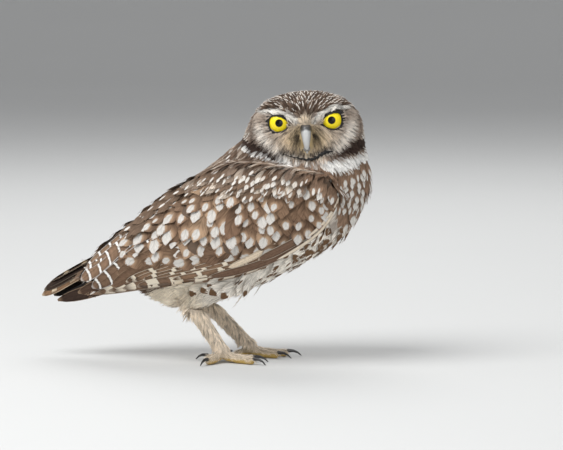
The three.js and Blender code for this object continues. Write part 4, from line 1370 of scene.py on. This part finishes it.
def covert_places(chance):
    """The small feathers' spots on a wing, in staggered rows, each as row, s, v and relative size."""
    places = []
    for k in range(COVERT["rows"]):
        s = (22.0 if k == 0 else 15 + 1.2 * k) + (k % 2) * COVERT["stagger"]
        while s < 149 - 1.5 * k:
            chord = float(np.linalg.norm(wing_point(1, s, 0.0) - wing_point(1, s, 1.0))) * 1.12
            v = float(np.interp(s, *zip(*LOW_ROW))) - (k - 0.018 * k * k) * COVERT["row_step"] / chord
            high = float(rise(0.36 - v, 0.0, 0.2))
            step = COVERT["step"] - 2.4 * float(rise(s, 75, 138)) - 2.8 * high
            if v > 0.04 + 0.06 * float(rise(s, 95, 110)):
                places.append((k, s + chance.normal(0, 1.0), v + chance.normal(0, 0.012),
                               step / COVERT["step"]))
            s += step
    return np.array(places).T


def dropped(tree, places, out):
    """Each place moved along out onto a surface, where one lies there."""
    found = [cast(tree, place + way * 14, -way, 26) for place, way in zip(places, out)]
    return np.array([place if hit is None else hit for place, hit in zip(places, found)])


def coverts(side, name, tree, shapes, finish, core_tree):
    chance = np.random.default_rng(SEED + 5)
    k, s, v, size = covert_places(chance)
    point, back, down, out = wing_frame(side, s, v)
    scapular = (1 - rise(v, 0.2, 0.36)) * (1 - rise(s, 100, 125))
    rear = 1 - rise(s, 12, 34)
    turn = np.where(k == 0, 4.0 + 50 * rise(s, 98, 110), 58 - 44 * scapular) * (1 - 0.35 * rear)
    turn = np.radians(turn + chance.normal(0, 5, len(s)))
    lie = back * np.cos(turn)[:, None] + down * np.sin(turn)[:, None]
    length = COVERT["length"] * size * (1 - 0.15 * scapular)
    roots = dropped(core_tree, point - lie * (length * 0.73)[:, None], out)
    top = 1 - rise(v, 0.1, 0.2) * (1 - rise(s, 112, 124) * (1 - rise(v, 0.3, 0.42)))
    roots += out * (COVERT["root_up"] - 1.6 * top)[:, None]
    tips = dropped(core_tree, point + lie * (length * 0.27)[:, None], out)
    tips += out * np.where(k == 0, 1.5, COVERT["tip_up"])[:, None]
    lie = unit(tips - roots)
    out = unit(out - lie * row_dot(out, lie)[:, None])
    ground = paint_over(linear("brown"), "warm brown", chance.uniform(0.15, 0.85, len(s)))
    ground = paint_over(ground, "grey brown", 0.5 * scapular)
    ground = paint_over(ground, "buff", 0.5 * (chance.uniform(0, 1, len(s)) < 0.06 + 0.16 * scapular))
    spotted = chance.uniform(0, 1, len(s)) < np.where(scapular > 0.5, 0.8, 0.9)
    vary = chance.normal(0, 1, len(s))
    wide = (0.4 - 0.04 * rear - 0.15 * scapular + (0.06 + 0.03 * scapular) * vary) * spotted
    long = 0.19 - 0.03 * scapular + (0.03 + 0.02 * scapular) * vary
    mesh = bpy.data.meshes.new(name)
    mesh.from_pydata([tuple(p * MM) for p in roots], [], [])
    give(mesh, ground=ground, marking=np.tile(linear("covert spot"), (len(s), 1)),
         marks=np.stack([wide, long, np.full(len(s), 0.75)], axis=1), size=size, out=out, lie=lie,
         root_map=fitted_map(np.stack([s, v], axis=1), np.ones(len(s), bool)))
    coat = show(name, mesh)
    run_tree(coat, tree, feathers=shapes, finish=finish, length=COVERT["length"] * MM,
             width=COVERT["width"] * MM, lift=0.0, stray=6.0, seed=SEED + 6 + side, soften=0.85)
    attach(coat, "root")


# Long feathers of a wing, from the lowest layer up: how many, half width, heights of root and tip over the
# wing, first and last tip and root as s and v, colours, bars as millimetres apart, width, web and where they
# end, and how pale the margins are
NO_BARS = (15, 0, 0, 1.2)
FEW_BARS = (8.5, 0.08, 0, 1.2)
WING_TIERS = [
    # The lowest feather's dark brown is partly its own colour and partly painted shade on its upper side
    (1, 4.6, (-1.7, -0.9), ((-36, 0.88),), ((60, 0.9),), (64, 49, 41), "buff", NO_BARS, 0.4),
    (4, 4.2, (-1.6, -0.7), ((-13, 0.98), (14, 1.0)), ((112, 1.0), (74, 0.95)), (124, 99, 80), "cream",
     (14.5, 0.5, -0.65, 0.95), 0.3),
    (1, 4.4, (-1.4, -0.5), ((-22, 0.8),), ((50, 0.8),), (84, 64, 52), "buff", NO_BARS, 0.5),
    (6, 2.6, (-1.4, -0.4), ((36, 0.96), (10, 0.88)), ((88, 0.94), (58, 0.74)), (140, 112, 89), "cream",
     (13, 0.12, -0.4, 0.9), 0.7),
    (1, 4.8, (-1.2, -0.2), ((0, 0.9),), ((52, 0.58),), (112, 88, 70), "buff", NO_BARS, 0.4),
    (1, 4.2, (-1.0, 0.0), ((8, 0.72),), ((58, 0.5),), (126, 100, 80), "buff", NO_BARS, 0.4),
    (1, 5.0, (-0.8, 0.3), ((-11.5, 0.78),), ((46, 0.4),), (128, 102, 82), "white", FEW_BARS, 0.4),
    (1, 4.8, (-0.5, 0.9), ((-15, 0.44),), ((42, 0.18),), (138, 111, 90), "white", FEW_BARS, 0.4),
    (1, 3.6, (-0.3, 1.4), ((-8, 0.24),), ((40, 0.1),), (142, 116, 94), "white", FEW_BARS, 0.4),
    (2, 2.8, (-1.2, -0.3), ((58, 0.98), (90, 0.94)), ((118, 0.99), (128, 0.94)), (112, 88, 72), "cream",
     NO_BARS, 0.5),
    (1, 2.2, (-1.0, 0.0), ((72, 0.93),), ((104, 0.88),), (228, 210, 186), "buff", NO_BARS, 0.5),
    (2, 1.1, (-0.8, 0.4), ((99, 1.0), (122, 0.95)), ((150, 1.0), (149, 0.95)), (226, 212, 192), "deep brown",
     NO_BARS, 0.5),
]
# The closed section of a long vane, thin with a low ridge where the shaft runs: places across, and heights
SECTION_ACROSS = (-1, -0.55, -0.12, 0, 0.12, 0.55, 1, 0.5, 0, -0.5)
SECTION_OVER = (-0.03, 0.035, 0.05, 0.085, 0.05, 0.035, -0.03, -0.03, -0.02, -0.03)
VANE_SHARES = np.linspace(0, 1, 22)  # the places along a long vane where it has a section


def vane_half(t):
    """Share of a long vane's half width along it."""
    return (0.28 + 0.72 * rise(t, 0, 0.3)) * np.clip(1 - np.clip((t - 0.72) / 0.285, 0, 1)**2.4, 0.0, 1)**0.6


def vane_section():
    mesh = bpy.data.meshes.new("vane_section")
    count = len(SECTION_ACROSS)
    mesh.from_pydata([(z, x, 0) for x, z in zip(SECTION_ACROSS, SECTION_OVER)],
                     [(i, (i + 1) % count) for i in range(count)], [])
    give(mesh, across=[0.5 + 0.5 * x for x in SECTION_ACROSS])
    return bpy.data.objects.new("vane_section", mesh)


class Vanes:
    """Gathers the chains of a set of long feathers, and sweeps them into one piece."""

    def __init__(self, name):
        self.name, self.points, self.values = name, [], {}

    def add(self, points, out, half, **facts):
        """Adds the chain of one feather. Its facts are the same all along it."""
        each = {"out": out, "half": half * vane_half(VANE_SHARES) * MM, "along": VANE_SHARES,
                "strip": len(self.points), **facts}
        self.points.append(points)
        for key, value in each.items():
            if np.shape(value) in ((), (3,)):
                value = np.tile(value, (len(points), 1))
            self.values.setdefault(key, []).append(value)

    def sweep(self, tree, section, finish):
        count, steps = len(self.points), len(VANE_SHARES)
        mesh = bpy.data.meshes.new(self.name)
        edges = [(k * steps + i, k * steps + i + 1) for k in range(count) for i in range(steps - 1)]
        mesh.from_pydata([tuple(p * MM) for p in np.vstack(self.points)], edges, [])
        joined = {key: np.concatenate(parts) for key, parts in self.values.items()}
        joined["strip"] = (joined["strip"] + 0.5) / count
        give(mesh, **joined, strip_wide=np.full(count * steps, 0.9 / count))
        piece = show(self.name, mesh)
        run_tree(piece, tree, section=section, finish=finish)
        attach(piece, "root")
        return piece


def wing_vanes(side, name, tree, section, finish):
    chance = np.random.default_rng(SEED + 21)
    vanes, t = Vanes(name), VANE_SHARES
    for count, half, (low, high), tips, roots, ground, marking, bars, margin in WING_TIERS:
        apart, wide, web, stop = bars
        for i in range(count):
            share = i / max(count - 1, 1)
            root, tip = (blend(np.array(ends[0]), np.array(ends[-1]), share) for ends in (roots, tips))
            s, v = (root[j] + (tip[j] - root[j]) * t for j in (0, 1))
            point, _, _, out = wing_frame(side, s, v)
            points = point + out * (low + (high - low) * t + 0.35 * share)[:, None]
            tilted = unit(out + 0.09 * np.cross(unit(np.gradient(points, axis=0)), out) * side)
            vanes.add(points, tilted, half, pick=chance.uniform(0, 1),
                      ground=linear(ground) * chance.uniform(0.93, 1.07), marking=linear(marking),
                      bands=((root[0] - tip[0]) / apart, wide, web * side), plain_tip=stop, margin=margin)
    vanes.sweep(tree, section, finish)


# s of the tail's roots, half width, millimetres between bars, the web they keep to, and where they end
TAIL = {"root": 14, "half": 4.6, "apart": 13, "web": 0.75, "plain_tip": 0.93}
# Pairs of tail feathers from the middle outwards: s and h of the tip, h of the root, way out from the middle,
# tilt of the face, colour, width of the bars and how pale the margins are
TAIL_PAIRS = [
    # The three inner pairs are coloured darker than the outer pair, as painted shade on the tail's upper side
    (-37, 30.0, 26.5, 1.5, 12, (70, 54, 43), 0.2, 0.4),
    (-40, 28.6, 25.0, 3.0, 32, (48, 37, 31), 0.0, 0.15),
    (-42, 27.6, 24.0, 4.5, 45, (56, 43, 35), 0.0, 0.15),
    (-44.5, 25.4, 22.6, 6.0, 52, (136, 106, 80), 0.2, 0.4),
    # This pair is a near-black vane set in the gap between the tail and the wing tips: painted shadow
    (-39, 21.8, 21.6, 3.0, 66, (20, 16, 13), 0.0, 0.15),
]


def tail_vanes(tree, section, finish):
    vanes, t = Vanes("tail_feathers"), VANE_SHARES
    for i, (tip_s, tip_h, root_h, out_by, tilt, ground, wide, margin) in enumerate(TAIL_PAIRS):
        for side in (-1, 1):
            s = TAIL["root"] + (tip_s - TAIL["root"]) * t
            h = root_h + (tip_h - root_h) * t + 0.8 * np.sin(math.pi * t)
            y = side * out_by * (0.6 + 0.4 * t)
            tilt_by = math.radians(tilt)
            out = np.tile(ABOVE * math.cos(tilt_by) + side * LEFT * math.sin(tilt_by), (len(t), 1))
            bands = ((TAIL["root"] - tip_s) / TAIL["apart"], wide, -TAIL["web"] * side)
            vanes.add(body_point(s, h, y), out, TAIL["half"], pick=0.3 + 0.05 * i, ground=linear(ground),
                      marking=linear("tail bar"), bands=bands, plain_tip=TAIL["plain_tip"], margin=margin)
    piece = vanes.sweep(tree, section, finish)
    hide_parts("tail")


def wing_core(node, material):
    """The wing under its feathers, a little inside the solid one."""
    core = smooth_copy(f"{node}_core", [node], voxel=1.2, grow=0.0, rounds=4)
    sink(core.data, DEPTH["wing"])
    points = coordinates(core.data)
    s, _, h = body_axes(points)
    low_h, _, _, _, up_h, _ = wing_at(s).T
    top = up_h - 0.5 * (1 - rise(s, -10, 2)) * (up_h - low_h)
    lowered = np.minimum(h, top) - h
    place_vertices(core.data, points + ABOVE * lowered[:, None] + ALONG * np.maximum(-31 - s, 0)[:, None])
    shade_smooth(core.data)
    # The core's rear is painted near-black: painted shade in the hollow between the wing tips and the tail
    give(core.data, ground=paint_over(linear("grey brown"), "wing underneath", 1 - rise(s, 8, 26)))
    core.data.materials.append(material)
    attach(core, "root")
    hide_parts(node)
    return core


def body_masks(points, wing, up_way):
    """Where the coat of the body grows on the guide, as 0 or 1 at each of its vertices."""
    s, _, h = body_axes(points)
    z = points[:, 2]
    low_h, _, _, _, up_h, _ = wing_at(s).T
    ragged_h = h + np.random.default_rng(SEED + 41).normal(0, 1.6, len(h))
    near_top = up_h - ragged_h < (0.12 + 0.2 * rise(s, 85, 112)) * (up_h - low_h)
    over_wing = (wing < 0.5) | near_top & (s > 32) | (s > 146)
    torso = ((points - NECK_BASE) @ NECK_BASE_WAY < -14 * rise(h, -2, 8)) & (z > 36) & (s > -8)
    neck = (on_head(points) <= 0.5) & ~torso & (z > 60) & (face_share(points) <= 0.5)
    under = torso & (h < -3) & (wing < 0.5)
    fluffy = (z > 36) & (wing < 0.5) & (under & (s < 45) | (z < 48) & (s < 84) & (h < 6)) & (s > -4)
    _, front, _ = face_axes(points)
    under_head = (points - HEAD_BASE) @ HEAD_BASE_WAY
    crease = (up_way > 0.62) & (np.abs(under_head + 4) < 9) & (front > -22) & (z > 60)
    jaw = (np.abs(under_head + 1) < 4.5) & (front > -16) & (wing < 0.5) | crease
    return {"back": torso & ~under & ~fluffy & over_wing & ~crease, "breast": under & ~fluffy,
            "neck": neck & over_wing & ~crease, "fluff": fluffy, "ruff": jaw}


def skin_masks(points, out, cores):
    """The same for the coat that grows on the skin itself."""
    side, front, up = face_axes(points)
    a, z = np.abs(side), points[:, 2]
    face, crown, brow = face_share(points), crown_share(points), brow_share(points)
    eye_x, eye_y = a - EYE["side"], up - (EYE["up"] - FACE_RAISE)
    ahead = front > 0
    eye_gap = ahead & (lid_reach(eye_x, eye_y, 0.65 - 0.45 * rise(eye_x, 2, 5)) < 1)
    bill_gap = ahead & (np.hypot(a / 4.2, (up + 6) / 8.5) < 1)
    open_skin = ~hidden_under(points, out, cores) & ~eye_gap & ~bill_gap
    beside_bill = ahead & (a > 3.2) & (a < 8) & (up > -8.5) & (up < 4)
    masks = {"crown": (crown > 0.5) & (brow < 0.3), "face": (face > 0.5) & (brow < 0.3), "brow": brow >= 0.3,
             "bristle": beside_bill & (lid_reach(eye_x, eye_y, 1.6) > 1), "leg": (z < 46) & (z > 8.5),
             "toe": (z < 9.5) & (z > 2.4) & (out[:, 2] > 0.1)}
    return {name: mask & open_skin for name, mask in masks.items()}


# Feather shapes: how many kinds, the first one's seed, and what the function is given
VANE_SHAPES = {
    "covert": (4, 40, {"rows": 6, "columns": 4, "barbs": 0, "blunt": 2.8, "camber": 0.1, "thick": 0.012}),
    "contour": (4, 50, {"rows": 5, "columns": 3, "barbs": 6}),
    "crown": (3, 60, {"rows": 5, "columns": 3, "barbs": 0, "blunt": 2.0, "arch": 0.04, "thick": 0.03}),
}
TUFT_SHAPES = {
    "tuft": (4, 70, {"strands": 4}),
    "fine": (4, 80, {"strands": 3, "girth": 0.05, "curl": 0.1}),
    "hair": (3, 90, {"strands": 2, "spread": 0.12, "girth": 0.022, "curl": 0.2}),
}
STRANDS = {
    "down_strand": {},
    "fluff_strand": {"root_tone": 0.84, "tip_tone": 0.97, "uneven": 0.1, "dark_share": -0.03},
    "face_strand": {"root_tone": 0.7, "tip_tone": 1.15, "uneven": 0.5, "dark_share": 0.18},
    "leg_strand": {"root_tone": 0.68, "tip_tone": 1.12, "uneven": 0.28, "dark_share": 0.05},
    "bristle": {"rough": 0.5, "root_tone": 0.4, "tip_tone": 0.7, "dark_share": 0.6},
}
# The coat: its part, shapes, map, slot and finish, then spacing, length, width, lift and stray
ON_GUIDE = [
    ("back", "contour", body_map, "brown_plumage", "body_feather", (3.9, 14, 7.6, 6, 9)),
    ("breast", "contour", body_map, "pale_plumage", "body_feather", (4.6, 15, 10, 8, 12)),
    ("neck", "contour", body_map, "brown_plumage", "body_feather", (2.9, 10.5, 5.5, 9, 12)),
    ("ruff", "tuft", body_map, "pale_plumage", "down_strand", (1.3, 9, 4.2, 14, 14)),
    ("fluff", "tuft", body_map, "pale_plumage", "fluff_strand", (1.25, 16, 6, 8, 14)),
]
ON_SKIN = [
    ("crown", "crown", head_map, "brown_plumage", "crown_feather", (1.2, 6.8, 2.1, 8, 10)),
    ("face", "fine", head_map, "pale_plumage", "face_strand", (0.95, 5.4, 2.3, 9, 10)),
    ("brow", "fine", head_map, "pale_plumage", "down_strand", (0.75, 4.8, 2.0, 10, 8)),
    ("bristle", "hair", head_map, "pale_plumage", "bristle", (0.7, 5.8, 3.0, 20, 16)),
    ("leg", "fine", leg_map, "foot_skin", "leg_strand", (1.1, 5.8, 2.6, 11, 13)),
    ("toe", "hair", leg_map, "foot_skin", "leg_strand", (0.85, 3.8, 3.0, 18, 14)),
]
WINGS = ((-1, "right"), (1, "left"))


def grow_coat(table, guide, masks, tree, shapes, finishes):
    heights = coordinates(guide.data)[:, 2]
    taller = {"fluff": 0.62 + 0.38 * rise(heights, 40, 62), "leg": 1 + 0.9 * rise(heights, 27, 36)}
    for name, shape, unwrap, slot, finish, (spacing, length, width, lift, stray) in table:
        coat_piece(f"{name}_coat", guide, masks[name].astype(float), tree, shapes[shape], unwrap, slot,
                   finishes[finish], taller.get(name, 1.0), spacing=spacing * MM, length=length * MM,
                   width=width * MM, lift=float(lift), stray=float(stray), seed=SEED + len(name))


def make_owl():
    barbs, streaks, strands, clouds = barb_group(), streak_group(), strand_group(), cloud_group()
    marks = mark_group(barbs, streaks)
    finishes = {"body_feather": feather_material("body_feather", marks, fringe=0.2, root_shade=0.25),
                "crown_feather": feather_material("crown_feather", marks, fringe=0.1, root_shade=0.35),
                **{name: strand_material(name, strands, **tones) for name, tones in STRANDS.items()}}
    covert = feather_material("covert_feather", marks, fringe=0.0, root_shade=0.3, halo=0.75, rough=0.9)
    down_skin, flight = skin_material(), flight_material(barbs, streaks)
    shapes = {name: shape_set(name, make, *facts) for make, table in ((vane_mesh, VANE_SHAPES),
                                                                      (tuft_mesh, TUFT_SHAPES))
              for name, facts in table.items()}
    setter = feather_setter()
    scatter, rows, sweep = coat_tree(setter), row_tree(setter), sweep_tree()

    cores = [surface_tree(wing_core(f"wing_{word}", down_skin)) for _, word in WINGS]
    skin = make_skin()
    points, out = coordinates(skin.data), vertex_normals(skin.data)
    give(skin.data, ground=plumage(points, np.random.default_rng(SEED))["ground"])
    skin.data.materials.append(down_skin)
    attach(skin, "root")
    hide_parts("torso", "neck", "head", "thigh_right", "thigh_left", "shank_right", "shank_left",
                "foot_right", "foot_left")
    guide, wing = make_guide(cores)
    masks = body_masks(coordinates(guide.data), wing, vertex_normals(guide.data)[:, 2])
    grow_coat(ON_GUIDE, guide, masks, scatter, shapes, finishes)
    bpy.data.objects.remove(guide)
    grow_coat(ON_SKIN, skin, skin_masks(points, out, cores), scatter, shapes, finishes)

    section, skin_tree = vane_section(), surface_tree(skin)
    lid_finish = plain_material("lid_skin", clouds, "lid", 900.0, 0.3, (0.3, 0.2), rough=0.7)
    eye_finish = eye_material()
    for core, (side, word) in zip(cores, WINGS):
        wing_vanes(side, f"flight_{word}", sweep, section, flight)
        coverts(side, f"coverts_{word}", rows, shapes["covert"], covert, core)
        make_eye(side, f"eye_{word}", eye_finish)
        make_lid(side, skin_tree, lid_finish)
    tail_vanes(sweep, section, flight)
    make_bill(bill_material())
    make_mouth(skin_tree, lid_finish)
    make_claws(plain_material("claw_horn", clouds, "horn", 600.0, 0.4, (0.2, 0.2), rough=0.3, coat=0.4))


# Floor, light and camera

# The floor's outline from its middle outwards, as way out and height in metres. It curves up far away
FLOOR_PROFILE = [(0.001, 0.0), (1.0, 0.0), (3.2, 0.0), (4.0, 0.12), (4.6, 0.5), (5.0, 1.2), (5.2, 2.6)]
FLOOR_COLUMNS = 64
LIGHTS = [
    {"name": "key", "azimuth": -35, "elevation": 52, "distance": 1.6, "size": 1.2, "power": 25},
    {"name": "fill", "azimuth": 35, "elevation": 9, "distance": 1.8, "size": 1.2, "power": 9},
    {"name": "back", "azimuth": 190, "elevation": 48, "distance": 1.7, "size": 1.3, "power": 13},
]
LIT = Vector((0.02, 0, 0.09))  # where the lights point
SKY = {"colour": (0.88, 0.88, 0.9, 1), "strength": 0.54}
CAMERA = {"azimuth": 12, "elevation": 5, "distance": 2.4, "target": (36.1, 0, 81.9), "frame_wide": 337.8}
SENSOR = 36


def make_stage():
    shape = bmesh.new()
    turns = [2 * math.pi * i / FLOOR_COLUMNS for i in range(FLOOR_COLUMNS)]
    rings = [[shape.verts.new((r * math.cos(turn), r * math.sin(turn), z)) for turn in turns]
             for r, z in FLOOR_PROFILE]
    join_rings(shape, rings)
    shape.faces.new(rings[0])
    face_out(shape)
    t = Surface("floor_paper")
    paper = t.result(t.shade((*linear("floor"), 1), t.noise(3.0) * 0.03 + 0.98), rough=0.9)
    floor = show("floor", mesh_of("floor", shape), paper)


def aimed(data, target, azimuth, elevation, distance):
    """A lamp or camera so far from its target, on the side given in degrees, and turned to it."""
    a, e = math.radians(azimuth), math.radians(elevation)
    away = Vector((math.sin(a) * math.cos(e), -math.cos(a) * math.cos(e), math.sin(e)))
    obj = bpy.data.objects.new(data.name, data)
    obj.location = target + away * distance
    obj.rotation_euler = away.to_track_quat("Z", "Y").to_euler()
    bpy.context.scene.collection.objects.link(obj)
    return obj


def make_lights():
    for light in LIGHTS:
        data = bpy.data.lights.new(light["name"], "AREA")
        data.shape = "DISK"
        data.size = light["size"]
        data.energy = light["power"]
        aimed(data, LIT, light["azimuth"], light["elevation"], light["distance"])
    world = bpy.data.worlds.new("studio")
    world.use_nodes = True
    sky = world.node_tree.nodes["Background"]
    sky.inputs[0].default_value = SKY["colour"]
    sky.inputs[1].default_value = SKY["strength"]
    bpy.context.scene.world = world
    bpy.context.scene.view_settings.view_transform = "Standard"


def make_camera():
    data = bpy.data.cameras.new("camera")
    data.sensor_width = SENSOR
    data.lens = SENSOR * CAMERA["distance"] / (CAMERA["frame_wide"] * MM)
    target = Vector((np.array(CAMERA["target"]) + SHIFT) * MM)
    camera = aimed(data, target, CAMERA["azimuth"], CAMERA["elevation"], CAMERA["distance"])
    bpy.context.scene.camera = camera


make_owl()
make_stage()
make_lights()
make_camera()
